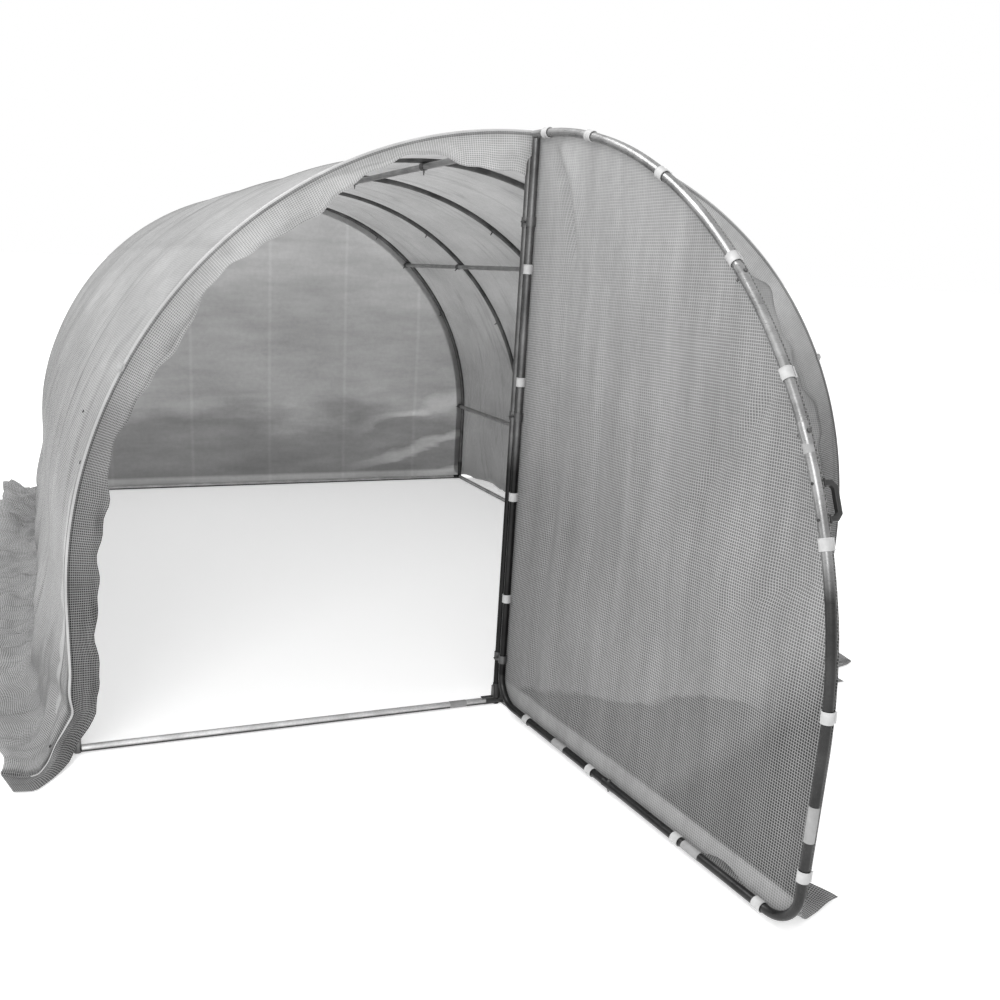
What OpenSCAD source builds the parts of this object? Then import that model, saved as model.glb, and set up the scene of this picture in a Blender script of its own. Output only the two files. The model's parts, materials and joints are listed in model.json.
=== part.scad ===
// Walk-in polytunnel: five tubular hoops joined by purlins and base rails, under one
// sheet of film. A half-moon door leaf hangs on the post in the middle of the front.
// X runs across the tunnel, Y runs from the front to the back, and Z is up.
// The origin is under the door post, where it stands on the ground.

/* [Tunnel] */
// Width over the hoops
tunnel_w = 3000; // [2400:20:3600]
// Height of the straight legs, below the round part of a hoop
leg_h = 500; // [400:10:800]
// Distance from one hoop to the next
bay_l = 1000; // [600:10:1500]

/* [Tubes] */
// Outside diameter of every frame tube
tube_d = 25; // [19:1:32]
// Place of the upper purlins round the hoop, from the top
upper_purlin_angle = 42.5; // [30:0.5:60]
// Height of the lower purlins above the start of the round part
lower_purlin_rise = 60; // [0:5:150]
// Wall of the purlin clamps
clamp_t = 2.5; // [1.5:0.5:5]
// Length of a purlin clamp along its purlin
clamp_l = 36; // [26:1:60]

/* [Film] */
// Thickness of the film pieces
film_t = 3; // [1:0.5:5]
// Film lying on the ground outside the walls
skirt_w = 250; // [100:10:400]
// Film turned in over the front hoop
flap_w = 90; // [40:5:140]
// Film lying on the ground in front of the front hoop
front_skirt_w = 200; // [100:10:300]

/* [Post] */
// Length of one arm of a post angle
angle_arm = 45; // [30:1:80]
// Width of a post angle
angle_w = 20; // [12:1:24]
// Thickness of a post angle
angle_t = 3; // [2:0.5:5]

/* [Hinges] */
// Clear gap between the post and the hinge tube of the door
hinge_gap = 14; // [14:1:40]
// Wall of the hinge bands
band_t = 3; // [2:0.5:5]
// Height of a hinge band
band_h = 30; // [20:1:50]
// Running clearance of the hinge tube in its bands, all round
hinge_clearance = 0.1; // [0.05:0.01:0.3]
// Height of the low hinge above the ground
low_hinge_z = 190; // [150:5:300]
// Height of the middle hinge above the ground
mid_hinge_z = 1080; // [800:5:1300]
// Distance of the top hinge below the top of the door
top_hinge_drop = 280; // [150:5:400]

/* [Door] */
// Angle of the door from closed, as it stands
door_angle = 94.5; // [0:0.5:150]
// Gap under the door frame
door_ground_gap = 20; // [16:1:60]
// Bend of the bottom corners, to the middle of the tube
door_bend_r = 100; // [60:5:150]
// Film that spreads out under the door, at its free corner
door_skirt_w = 200; // [60:10:220]
// Room left round a hinge band in the door film
band_room = 6; // [5:1:12]

/* [Door clips] */
// Wall of the clips
clip_t = 2.5; // [1.5:0.5:4]
// Length of a clip along its tube
clip_l = 36; // [20:1:60]

/* [Handle] */
// Distance between the two feet of the handle
handle_span = 84; // [60:1:120]
// Reach of the handle beyond the door film
handle_reach = 46; // [35:1:60]
// Thickness of the handle bar
handle_bar = 14; // [8:1:18]
// Place of the handle round the door, from the top
handle_angle = 66.8; // [60:0.1:75]

/* [Hidden] */

bays = 4;
curve_clearance = 0.3;                 // left where a curved face comes near a flat one
tunnel_l = bays * bay_l;
tube_r = tube_d / 2;
half_w = tunnel_w / 2;
hoop_r = half_w - tube_r;              // middle of the hoop tube
purlin_r = hoop_r - tube_d;            // purlins lie inside the hoops
front_y = -tube_r;                     // front face of the front hoop
back_y = tunnel_l + tube_r;            // back face of the back hoop
cover_l = back_y - front_y;
post_h = leg_h + hoop_r - tube_r - curve_clearance;
film_r = half_w + film_t;              // outside of the cover
hinge_pitch = tube_d + hinge_gap;      // post axis to hinge tube axis
lower_purlin_angle = acos(lower_purlin_rise / purlin_r);
roof_step = 30;                        // the round cover is six equal strips
door_bottom_z = door_ground_gap + tube_r;
door_film_z = door_ground_gap - 7;     // lower edge of the door film
door_corner_z = door_bottom_z + door_bend_r;
top_hinge_z = leg_h + half_w - top_hinge_drop;
hinge_heights = [low_hinge_z, mid_hinge_z, top_hinge_z];
clip_mouth = 45;                       // half the open angle of a clip
end_clamp_y = tube_r - clamp_l / 2;    // clamps of the end hoops stay behind their faces
arch_clip_angles = [2.5, 12.1, 26.8, 41.6, 54.8, 70.6, 86];
free_leg_clip_z = 190;
hinge_clip_heights = [425, 800, 1200, 1570];
bottom_clip_places = [200, 600, 1035, 1365];

// Turns a shape drawn on the ground plane, in X and Y, upright across the tunnel.
module upright() {
    rotate([90, 0, 0]) children();
}

// Sweeps a section round the tunnel's own axis. Angles run from +X up to the top
// and on to -X. The section's x is the radius and its y is the distance to the back.
module round_tunnel(from_angle, to_angle) {
    translate([0, 0, leg_h])
        rotate([-90, 0, 0])
            rotate([0, 0, -to_angle])
                rotate_extrude(angle = to_angle - from_angle, $fn = 360)
                    children();
}

// A straight tube that lies along the tunnel.
module tube_along_y(x, y, z, length) {
    translate([x, y, z])
        rotate([-90, 0, 0])
            cylinder(d = tube_d, h = length, $fn = 48);
}

// A straight tube that lies across the tunnel.
module tube_along_x(x, y, z, length) {
    translate([x, y, z])
        rotate([0, 90, 0])
            cylinder(d = tube_d, h = length, $fn = 48);
}

module hoop(y) {
    color("darkgray")
        translate([0, y, 0]) {
            round_tunnel(0, 180)
                translate([hoop_r, 0]) circle(d = tube_d, $fn = 48);
            for (side = [-1, 1])
                translate([side * hoop_r, 0, 0])
                    cylinder(d = tube_d, h = leg_h, $fn = 48);
        }
}

module front_hoop() {
    hoop(0);
}

module second_hoop() {
    hoop(bay_l);
}

module third_hoop() {
    hoop(2 * bay_l);
}

module fourth_hoop() {
    hoop(3 * bay_l);
}

module back_hoop() {
    hoop(tunnel_l);
}

// Angle is measured from the top, negative to the left.
module purlin(angle, from_y) {
    color("darkgray")
        tube_along_y(
            purlin_r * sin(angle),
            from_y,
            leg_h + purlin_r * cos(angle),
            back_y - from_y
        );
}

module ridge_purlin() {
    purlin(0, tube_r);
}

module upper_left_purlin() {
    purlin(-upper_purlin_angle, front_y);
}

module upper_right_purlin() {
    purlin(upper_purlin_angle, front_y);
}

module lower_left_purlin() {
    purlin(-lower_purlin_angle, front_y);
}

module lower_right_purlin() {
    purlin(lower_purlin_angle, front_y);
}

// A strap round the inner side of a purlin, its two lips up against the hoop.
module purlin_clamp(angle, y) {
    lip_end = hoop_r - tube_r - curve_clearance;
    lip_h = lip_end - purlin_r;
    translate([0, y - clamp_l / 2, leg_h])
        rotate([0, angle, 0])
            translate([0, 0, purlin_r])
                rotate([-90, 0, 0])
                    linear_extrude(clamp_l)
                        difference() {
                            union() {
                                circle(r = tube_r + clamp_t, $fn = 48);
                                translate([-tube_r - clamp_t, -lip_h])
                                    square([tube_d + 2 * clamp_t, lip_h]);
                            }
                            circle(r = tube_r, $fn = 48);
                            translate([-tube_r, -2 * tube_d])
                                square([tube_d, 2 * tube_d]);
                            translate([-tube_d, -lip_h - tube_d])
                                square([2 * tube_d, tube_d]);
                        }
}

module purlin_clamps() {
    angles = [-lower_purlin_angle, -upper_purlin_angle, 0, upper_purlin_angle, lower_purlin_angle];
    color("dimgray") {
        for (angle = angles) {
            for (bay = [1 : bays - 1])
                purlin_clamp(angle, bay * bay_l);
            purlin_clamp(angle, tunnel_l + end_clamp_y);
            if (angle != 0)
                purlin_clamp(angle, -end_clamp_y);
        }
    }
}

// One tube in each bay, from hoop leg to hoop leg.
module side_base_rail(x) {
    color("darkgray")
        for (bay = [0 : bays - 1])
            tube_along_y(x, bay * bay_l + tube_r, tube_r, bay_l - tube_d);
}

module left_base_rail() {
    side_base_rail(-hoop_r);
}

module right_base_rail() {
    side_base_rail(hoop_r);
}

// Two tubes, from the hoop legs to the door post.
module front_base_rail() {
    color("darkgray") {
        tube_along_x(-hoop_r + tube_r, 0, tube_r, hoop_r - tube_d);
        tube_along_x(tube_r, 0, tube_r, hoop_r - tube_d);
    }
}

module back_base_rail() {
    color("darkgray")
        tube_along_x(-hoop_r + tube_r, tunnel_l, tube_r, 2 * hoop_r - tube_d);
}

module door_post() {
    color("darkgray")
        cylinder(d = tube_d, h = post_h, $fn = 48);
}

// One steel angle beside the post: an arm up the post and an arm along the rail.
module post_angle() {
    translate([tube_r, -angle_w / 2, 0]) {
        cube([angle_t, angle_w, angle_arm]);
        cube([angle_arm, angle_w, angle_t]);
    }
}

module post_foot_angles() {
    color("dimgray")
        translate([0, 0, tube_d])
            for (side = [0, 1])
                mirror([side, 0, 0]) post_angle();
}

module post_head_angles() {
    arm_end = tube_r + angle_arm;
    inner_r = hoop_r - tube_r;
    arm_top = leg_h + sqrt(inner_r * inner_r - arm_end * arm_end) - curve_clearance;
    color("dimgray")
        translate([0, 0, arm_top])
            for (side = [0, 1])
                mirror([side, 0, 0]) mirror([0, 0, 1]) post_angle();
}

// A figure of eight: one band tight on the post, one loose on the hinge tube.
module hinge_band(z) {
    web_w = 8;
    translate([0, 0, z - band_h / 2])
        difference() {
            union() {
                cylinder(r = tube_r + band_t, h = band_h, $fn = 64);
                translate([0, -hinge_pitch, 0])
                    cylinder(r = tube_r + hinge_clearance + band_t, h = band_h, $fn = 64);
                translate([-web_w / 2, -hinge_pitch, 0])
                    cube([web_w, hinge_pitch, band_h]);
            }
            translate([0, 0, -1])
                cylinder(r = tube_r, h = band_h + 2, $fn = 64);
            translate([0, -hinge_pitch, -1])
                cylinder(r = tube_r + hinge_clearance, h = band_h + 2, $fn = 64);
        }
}

module hinge_bands() {
    color("dimgray")
        for (z = hinge_heights)
            hinge_band(z);
}

module wall_film(x) {
    color("gainsboro")
        translate([x, front_y, film_t])
            cube([film_t, cover_l, leg_h - film_t]);
}

module left_wall_film() {
    wall_film(-film_r);
}

module right_wall_film() {
    wall_film(half_w);
}

// One of the six strips of the round cover, counted from the right.
module roof_strip(index) {
    color("gainsboro")
        round_tunnel(index * roof_step, (index + 1) * roof_step)
            translate([half_w, front_y]) square([film_t, cover_l]);
}

module right_haunch_film() {
    roof_strip(0);
}

module right_roof_film() {
    roof_strip(1);
}

module right_crown_film() {
    roof_strip(2);
}

module left_crown_film() {
    roof_strip(3);
}

module left_roof_film() {
    roof_strip(4);
}

module left_haunch_film() {
    roof_strip(5);
}

module side_skirt(x) {
    color("gainsboro")
        translate([x, front_y, 0])
            cube([skirt_w + film_t, cover_l, film_t]);
}

module left_skirt() {
    side_skirt(-film_r - skirt_w);
}

module right_skirt() {
    side_skirt(half_w);
}

module back_skirt() {
    color("gainsboro")
        translate([-film_r - skirt_w, back_y, 0])
            cube([2 * (film_r + skirt_w), skirt_w, film_t]);
}

// The foot of the left flap, spread on the ground beside the doorway.
module front_left_skirt() {
    color("gainsboro")
        translate([-film_r - skirt_w, front_y - front_skirt_w, 0])
            cube([skirt_w + film_t + flap_w, front_skirt_w, film_t]);
}

// The foot of the fixed front panel.
module front_right_skirt() {
    start_x = tube_r + band_t + band_room;
    color("gainsboro")
        translate([start_x, front_y - front_skirt_w, 0])
            cube([film_r + skirt_w - start_x, front_skirt_w, film_t]);
}

// The right flap, over the front face of the hoop. The left one mirrors it.
module front_flap() {
    color("gainsboro") {
        round_tunnel(0, 90)
            translate([half_w - flap_w, front_y - film_t])
                square([flap_w + film_t, film_t]);
        translate([half_w - flap_w, front_y - film_t, film_t])
            cube([flap_w + film_t, film_t, leg_h - film_t]);
    }
}

module right_front_flap() {
    front_flap();
}

module left_front_flap() {
    mirror([1, 0, 0]) front_flap();
}

// Outline of half the tunnel's end, right of the middle line.
module half_end_outline(radius, bottom) {
    intersection() {
        union() {
            translate([0, leg_h]) circle(r = radius, $fn = 360);
            translate([0, bottom]) square([radius, leg_h - bottom]);
        }
        translate([0, bottom]) square([radius, leg_h + radius]);
    }
}

// The fixed film of the right half, inside the flap and cut clear of the hinges.
module front_panel_film() {
    notch_w = tube_r + band_t + band_room;
    notch_h = band_h + 2 * band_room;
    color("gainsboro")
        difference() {
            translate([0, front_y, 0])
                upright()
                    linear_extrude(film_t)
                        half_end_outline(half_w - flap_w, film_t);
            for (z = hinge_heights)
                translate([-1, front_y - 2 * film_t, z - notch_h / 2])
                    cube([notch_w + 1, 3 * film_t, notch_h]);
        }
}

module back_wall_film() {
    color("gainsboro")
        translate([0, back_y + film_t, 0])
            upright()
                linear_extrude(film_t)
                    union() {
                        half_end_outline(film_r, film_t);
                        mirror([1, 0]) half_end_outline(film_r, film_t);
                    }
}

// Puts the door, drawn closed with its hinge tube at X = 0 and Y = 0, where it stands.
module on_hinge() {
    translate([0, -hinge_pitch, 0])
        rotate([0, 0, door_angle])
            children();
}

module door_hinge_tube() {
    color("darkgray")
        on_hinge()
            translate([0, 0, door_corner_z])
                cylinder(d = tube_d, h = post_h - door_corner_z, $fn = 48);
}

// From over the hinge tube, round to the free side and down its straight leg.
module door_arch_tube() {
    past_top = asin(tube_r / hoop_r);
    color("darkgray")
        on_hinge() {
            round_tunnel(90 - past_top, 180)
                translate([hoop_r, 0]) circle(d = tube_d, $fn = 48);
            translate([-hoop_r, 0, door_corner_z])
                cylinder(d = tube_d, h = leg_h - door_corner_z, $fn = 48);
        }
}

// A quarter bend at a bottom corner of the door, opening up from the bottom tube.
module door_bend(x, from_angle) {
    translate([x, 0, door_corner_z])
        rotate([90, 0, 0])
            rotate([0, 0, from_angle])
                rotate_extrude(angle = 90, $fn = 96)
                    translate([door_bend_r, 0]) circle(d = tube_d, $fn = 48);
}

module door_bottom_tube() {
    color("darkgray")
        on_hinge() {
            door_bend(-door_bend_r, 270);
            door_bend(-hoop_r + door_bend_r, 180);
            tube_along_x(-hoop_r + door_bend_r, 0, door_bottom_z, hoop_r - 2 * door_bend_r);
        }
}

// One flat sheet on the outer side of the door frame, cut back round the hinges.
module door_film() {
    notch_w = tube_r + band_t + band_room;
    notch_h = band_h + 2 * band_room;
    color("gainsboro")
        on_hinge()
            difference() {
                translate([0, -tube_r, 0])
                    upright()
                        linear_extrude(film_t)
                            mirror([1, 0])
                                half_end_outline(half_w, door_film_z);
                for (z = hinge_heights)
                    translate([-notch_w, -tube_r - 2 * film_t, z - notch_h / 2])
                        cube([notch_w + 1, 3 * film_t, notch_h]);
            }
}

// Spare film that spreads over the ground, wider towards the free corner.
module door_skirt() {
    narrow_w = 35;
    color("gainsboro")
        on_hinge()
            translate([0, -tube_r, door_film_z - film_t])
                linear_extrude(film_t)
                    polygon([
                        [-2 * tube_d, 0],
                        [-half_w, 0],
                        [-half_w, -door_skirt_w],
                        [-half_w / 2, -door_skirt_w],
                        [-2 * tube_d, -narrow_w]
                    ]);
}

// Section of a clip round a tube, its mouth open towards -Y.
module clip_section() {
    reach = 3 * tube_d;
    difference() {
        circle(r = tube_r + clip_t, $fn = 64);
        circle(r = tube_r, $fn = 64);
        polygon([[0, 0], [-reach * tan(clip_mouth), -reach], [reach * tan(clip_mouth), -reach]]);
    }
}

module upright_clip(x, z) {
    translate([x, 0, z - clip_l / 2])
        linear_extrude(clip_l) clip_section();
}

module bottom_clip(x) {
    translate([x - clip_l / 2, 0, door_bottom_z])
        rotate([0, 90, 0])
            linear_extrude(clip_l) clip_section();
}

// Angle is measured from the top of the door.
module arch_clip(angle) {
    half_angle = clip_l / hoop_r * 90 / PI;
    round_tunnel(90 + angle - half_angle, 90 + angle + half_angle)
        translate([hoop_r, 0]) clip_section();
}

module door_clips() {
    color("white")
        on_hinge() {
            for (angle = arch_clip_angles)
                arch_clip(angle);
            upright_clip(-hoop_r, free_leg_clip_z);
            for (z = hinge_clip_heights)
                upright_clip(0, z);
            for (place = bottom_clip_places)
                bottom_clip(-place);
        }
}

// Side view of the handle: a bow with cut corners, its feet on the X axis.
module handle_outline(half_l, reach, corner) {
    polygon([
        [-half_l, 0],
        [half_l, 0],
        [half_l, reach - corner],
        [half_l - corner, reach],
        [-half_l + corner, reach],
        [-half_l, reach - corner]
    ]);
}

// Stands off the film, over the arch tube.
module door_handle() {
    half_l = (handle_span + handle_bar) / 2;
    inner_reach = handle_reach - handle_bar;
    color("black")
        on_hinge()
            translate([0, -tube_r - film_t, leg_h])
                rotate([0, -handle_angle, 0])
                    translate([0, 0, hoop_r - handle_bar / 2])
                        rotate([0, 0, 180])
                            linear_extrude(handle_bar)
                                difference() {
                                    handle_outline(half_l, handle_reach, handle_bar);
                                    translate([0, -inner_reach])
                                        handle_outline(
                                            half_l - handle_bar,
                                            2 * inner_reach,
                                            handle_bar / 2
                                        );
                                }
}

front_hoop();
second_hoop();
third_hoop();
fourth_hoop();
back_hoop();
ridge_purlin();
upper_left_purlin();
upper_right_purlin();
lower_left_purlin();
lower_right_purlin();
purlin_clamps();
left_base_rail();
right_base_rail();
front_base_rail();
back_base_rail();
door_post();
post_foot_angles();
post_head_angles();
hinge_bands();
left_wall_film();
left_haunch_film();
left_roof_film();
left_crown_film();
right_crown_film();
right_roof_film();
right_haunch_film();
right_wall_film();
left_skirt();
right_skirt();
back_skirt();
front_left_skirt();
front_right_skirt();
left_front_flap();
right_front_flap();
front_panel_film();
back_wall_film();
door_hinge_tube();
door_arch_tube();
door_bottom_tube();
door_film();
door_skirt();
door_clips();
door_handle();
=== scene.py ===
# %% [markdown]
# # A polytunnel greenhouse
# Five hoops of thin steel tube stand in a row, long tubes tie them together, and one large
# sheet of thread-reinforced film is drawn over them. The left half of the front is a door
# leaf that swings on the centre post. Frame parts come from the drawing and only get their
# metal here; everything soft or small is made in this file, in metres, where it belongs.

# %% Load the frame
import math

import bpy
import numpy as np
from mathutils import Matrix, Vector
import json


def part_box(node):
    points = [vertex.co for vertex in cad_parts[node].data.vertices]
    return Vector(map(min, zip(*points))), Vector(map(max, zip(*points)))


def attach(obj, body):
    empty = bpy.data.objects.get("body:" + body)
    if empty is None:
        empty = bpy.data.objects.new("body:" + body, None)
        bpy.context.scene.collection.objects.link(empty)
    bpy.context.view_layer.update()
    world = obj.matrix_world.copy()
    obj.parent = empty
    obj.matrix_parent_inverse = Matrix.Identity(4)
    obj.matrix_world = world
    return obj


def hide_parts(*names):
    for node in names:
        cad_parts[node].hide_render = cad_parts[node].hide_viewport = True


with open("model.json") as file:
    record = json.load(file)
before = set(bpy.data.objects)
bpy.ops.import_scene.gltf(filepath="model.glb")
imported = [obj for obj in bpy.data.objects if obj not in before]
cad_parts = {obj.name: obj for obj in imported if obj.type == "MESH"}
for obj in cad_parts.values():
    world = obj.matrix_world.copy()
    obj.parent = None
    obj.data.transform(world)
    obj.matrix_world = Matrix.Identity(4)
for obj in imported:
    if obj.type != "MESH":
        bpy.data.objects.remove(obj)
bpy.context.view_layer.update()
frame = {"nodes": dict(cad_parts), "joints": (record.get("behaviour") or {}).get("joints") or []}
nodes = frame["nodes"]

# %% [markdown]
# ## Camera
# The camera stands a little left of the tunnel, at eye height, and looks slightly down at
# the open front. It comes first so that every later step can be judged through it. The lens
# shift is small: it only moves the object to its place in the frame.

# %% Camera
CAMERA_PLACE = Vector((-1.5347, -3.1958, 1.5572))
CAMERA_YAW = math.radians(21.175)      # turned right from straight ahead
CAMERA_PITCH = math.radians(15.635)    # tipped down
CAMERA_ROLL = math.radians(2.444)
CAMERA_LENS_MM = 36.60
turn = (Matrix.Rotation(-CAMERA_YAW, 4, "Z")
        @ Matrix.Rotation(math.pi / 2 - CAMERA_PITCH, 4, "X")
        @ Matrix.Rotation(CAMERA_ROLL, 4, "Z"))
bpy.ops.object.camera_add(location=CAMERA_PLACE, rotation=turn.to_euler())
camera = bpy.context.object
camera.data.lens = CAMERA_LENS_MM
camera.data.shift_x = 0.072
camera.data.shift_y = 0.054
camera.data.clip_end = 3000
bpy.context.scene.camera = camera
print("camera looks along", [round(c, 3) for c in turn @ Vector((0, 0, -1))])

# %% [markdown]
# ## Floor and light
# A plain pale floor and a pale room stand in for a bright overcast day. One large soft
# light hangs over the tunnel, because film glows from the light that falls on its far side,
# and a weaker one fills the front.

# %% Floor and light
bpy.ops.mesh.primitive_plane_add(size=2400, location=(0, 0, -0.0015))
floor = bpy.context.object
floor.name = "studio_floor"
paint = bpy.data.materials.new("studio_floor")
paint.use_nodes = True
paint_shader = paint.node_tree.nodes["Principled BSDF"]
paint_shader.inputs["Base Color"].default_value = (0.86, 0.86, 0.86, 1)
paint_shader.inputs["Roughness"].default_value = 0.9
paint_shader.inputs["Emission Color"].default_value = (1, 1, 1, 1)
paint_shader.inputs["Emission Strength"].default_value = 0.42
floor.data.materials.append(paint)

room = bpy.context.scene.world or bpy.data.worlds.new("room")
bpy.context.scene.world = room
room.use_nodes = True
room_light = room.node_tree.nodes["Background"]
room_light.inputs["Color"].default_value = (1, 1, 1, 1)
room_light.inputs["Strength"].default_value = 1.0
bpy.context.scene.view_settings.view_transform = "Standard"


def soft_light(name, place, aim, size, power):
    """A large square area light at place, turned towards aim."""
    direction = Vector(aim) - Vector(place)
    turned = direction.to_track_quat("-Z", "Y").to_euler()
    bpy.ops.object.light_add(type="AREA", location=place, rotation=turned)
    light = bpy.context.object
    light.name = name
    light.data.size = size
    light.data.energy = power
    return light


soft_light("sky_light", (-3.5, 1.5, 7.0), (0, 1.8, 0.8), 4.5, 500)
soft_light("front_light", (-4.5, -6.0, 4.0), (0, 0.5, 1.0), 4.0, 230)
print("floor, room and lights are in place")

# %% [markdown]
# ## Metals and plastics
# Galvanised tube is never one flat grey: zinc crystals give it patches and drawing leaves fine
# streaks. Lower parts and undersides are darkened with painted shade. A material is a small
# graph of nodes, so one helper builds the graph and each finish only changes its numbers. The
# patterns read object coordinates, which stay fixed to the part wherever it is seen from.

# %% Helpers for materials


def new_material(name):
    """A node material and its tree, with the Principled shader still in it."""
    material = bpy.data.materials.new(name)
    material.use_nodes = True
    return material, material.node_tree


def add(tree, kind, **settings):
    """A node of that kind, with settings and input defaults by name."""
    node = tree.nodes.new(kind)
    for key, value in settings.items():
        if key in node.inputs:
            node.inputs[key].default_value = value
        else:
            setattr(node, key, value)
    return node


def noise(tree, source, scale, detail=3.0, rough=0.5, stretch=None):
    """A noise texture on source; stretch scales the three directions for streaks."""
    if stretch:
        mapping = add(tree, "ShaderNodeMapping", Scale=stretch)
        tree.links.new(source, mapping.inputs["Vector"])
        source = mapping.outputs["Vector"]
    node = add(tree, "ShaderNodeTexNoise", Scale=scale, Detail=detail, Roughness=rough)
    tree.links.new(source, node.inputs["Vector"])
    return node.outputs["Fac"]


def ramp(tree, value, low, high, out_low=0.0, out_high=1.0):
    """value from low..high is drawn out to out_low..out_high and held there."""
    node = add(tree, "ShaderNodeMapRange", clamp=True)
    for key, number in (("From Min", low), ("From Max", high),
                        ("To Min", out_low), ("To Max", out_high)):
        node.inputs[key].default_value = number
    tree.links.new(value, node.inputs["Value"])
    return node.outputs["Result"]


def mix(tree, share, first, second, blend="MIX"):
    """Two colours mixed; each is a colour or a socket, share a number or a socket."""
    node = add(tree, "ShaderNodeMix", data_type="RGBA", blend_type=blend)
    for socket, value in ((0, share), (6, first), (7, second)):
        if isinstance(value, bpy.types.NodeSocket):
            tree.links.new(value, node.inputs[socket])
        elif socket == 0:
            node.inputs[socket].default_value = value
        else:
            node.inputs[socket].default_value = (*value, 1)
    return node.outputs[2]


def math_node(tree, operation, first, second):
    """One Math node on two values, each a number or a socket."""
    node = add(tree, "ShaderNodeMath", operation=operation)
    for socket, value in enumerate((first, second)):
        if isinstance(value, bpy.types.NodeSocket):
            tree.links.new(value, node.inputs[socket])
        else:
            node.inputs[socket].default_value = value
    return node.outputs[0]


def times(tree, first, second):
    return math_node(tree, "MULTIPLY", first, second)


def plus(tree, first, second):
    return math_node(tree, "ADD", first, second)


def minus(tree, first, second):
    return math_node(tree, "SUBTRACT", first, second)


def larger(tree, first, second):
    return math_node(tree, "MAXIMUM", first, second)


def split(tree, vector):
    """The X, Y and Z of a vector."""
    node = add(tree, "ShaderNodeSeparateXYZ")
    tree.links.new(vector, node.inputs[0])
    return node.outputs


def relief(tree, shader, height, strength, distance):
    """Bump from a pattern of heights, for relief too fine to model."""
    bump = add(tree, "ShaderNodeBump", Strength=strength, Distance=distance)
    tree.links.new(height, bump.inputs["Height"])
    tree.links.new(bump.outputs["Normal"], shader.inputs["Normal"])


def grey(value):
    return (value, value, value)


# %% [markdown]
# ## Zinc, plastic and paper
# Zinc comes in several greys: hoops are darkest, ground rails lightest. Plastics share one
# recipe, from the pale clips to the black fittings, and so does the paper of the labels.

# %% Galvanised tube and black fittings


def metal(name, light, dark, rough, underside_shade=0.0, shade_below=0.0):
    """Zinc-coated steel: crystals, drawing streaks and, where set, painted shade below a height and on the
    underside.
    """
    material, tree = new_material(name)
    shader = tree.nodes["Principled BSDF"]
    shader.inputs["Metallic"].default_value = 0.85
    place = add(tree, "ShaderNodeTexCoord").outputs["Object"]
    crystals = add(tree, "ShaderNodeTexVoronoi", Scale=160.0)
    tree.links.new(place, crystals.inputs["Vector"])
    patches = ramp(tree, crystals.outputs["Distance"], 0.0, 0.9)
    cloud = ramp(tree, noise(tree, place, 9.0, 4.0, 0.6), 0.35, 0.65)
    colour = mix(tree, cloud, dark, light)
    colour = mix(tree, 0.16, colour, patches, "MULTIPLY")
    # painted shade: darker below the given height
    if shade_below:
        height = split(tree, place)["Z"]
        low_shade = ramp(tree, height, shade_below + 0.06, shade_below - 0.06, 1.0, 0.13)
        colour = mix(tree, 1.0, colour, low_shade, "MULTIPLY")
    fine = noise(tree, place, 60.0, 2.0, 0.5, (1.0, 1.0, 6.0))
    # painted shade: faces that look downwards are darkened
    if underside_shade:
        facing = split(tree, add(tree, "ShaderNodeNewGeometry").outputs["Normal"])
        under = ramp(tree, facing["Z"], 0.25, -0.35, 0.0, underside_shade)
        colour = mix(tree, under, colour, grey(0.012))
    tree.links.new(colour, shader.inputs["Base Color"])
    tree.links.new(ramp(tree, fine, 0.3, 0.7, rough - 0.08, rough + 0.12),
                   shader.inputs["Roughness"])
    relief(tree, shader, fine, 0.12, 0.0006)
    return material


def plastic(name, light, dark, rough, scale=38.0, bumpy=0.25):
    """Moulded plastic or rubber with faint mottling and a fine moulded grain."""
    material, tree = new_material(name)
    shader = tree.nodes["Principled BSDF"]
    place = add(tree, "ShaderNodeTexCoord").outputs["Object"]
    cloud = ramp(tree, noise(tree, place, scale, 4.0, 0.6), 0.3, 0.7)
    tree.links.new(mix(tree, cloud, dark, light), shader.inputs["Base Color"])
    grain = noise(tree, place, 700.0, 2.0, 0.6)
    tree.links.new(ramp(tree, grain, 0.3, 0.7, rough - 0.06, rough + 0.1),
                   shader.inputs["Roughness"])
    relief(tree, shader, grain, bumpy, 0.0003)
    return material


hoop_metal = metal("hoop_zinc", grey(0.17), grey(0.08), 0.42)
purlin_metal = metal("purlin_zinc", grey(0.46), grey(0.30), 0.42)
post_metal = metal("post_zinc", grey(0.16), grey(0.085), 0.36, shade_below=0.95)
leaf_metal = metal("leaf_zinc", grey(0.34), grey(0.20), 0.33, shade_below=0.93)
rail_metal = metal("rail_zinc", grey(0.75), grey(0.55), 0.40, underside_shade=0.97)
fitting_metal = metal("fitting_zinc", grey(0.16), grey(0.08), 0.45)
black_plastic = plastic("black_moulding", grey(0.016), grey(0.007), 0.42)
clip_plastic = plastic("clip_moulding", grey(0.42), grey(0.32), 0.50)
label_paper = plastic("blank_label", grey(0.26), grey(0.19), 0.60, 25.0, 0.1)
print("metals and plastics:", [m.name for m in bpy.data.materials])

# %% [markdown]
# ## Sizes taken from the frame
# New pieces are placed from the frame's own boxes. The cover's cut begins at the free edge of
# its front flap, so the flap's width and the turn round the front tube are settled here too:
# the film's finish has to know where on the cut each hoop lies.

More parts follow.
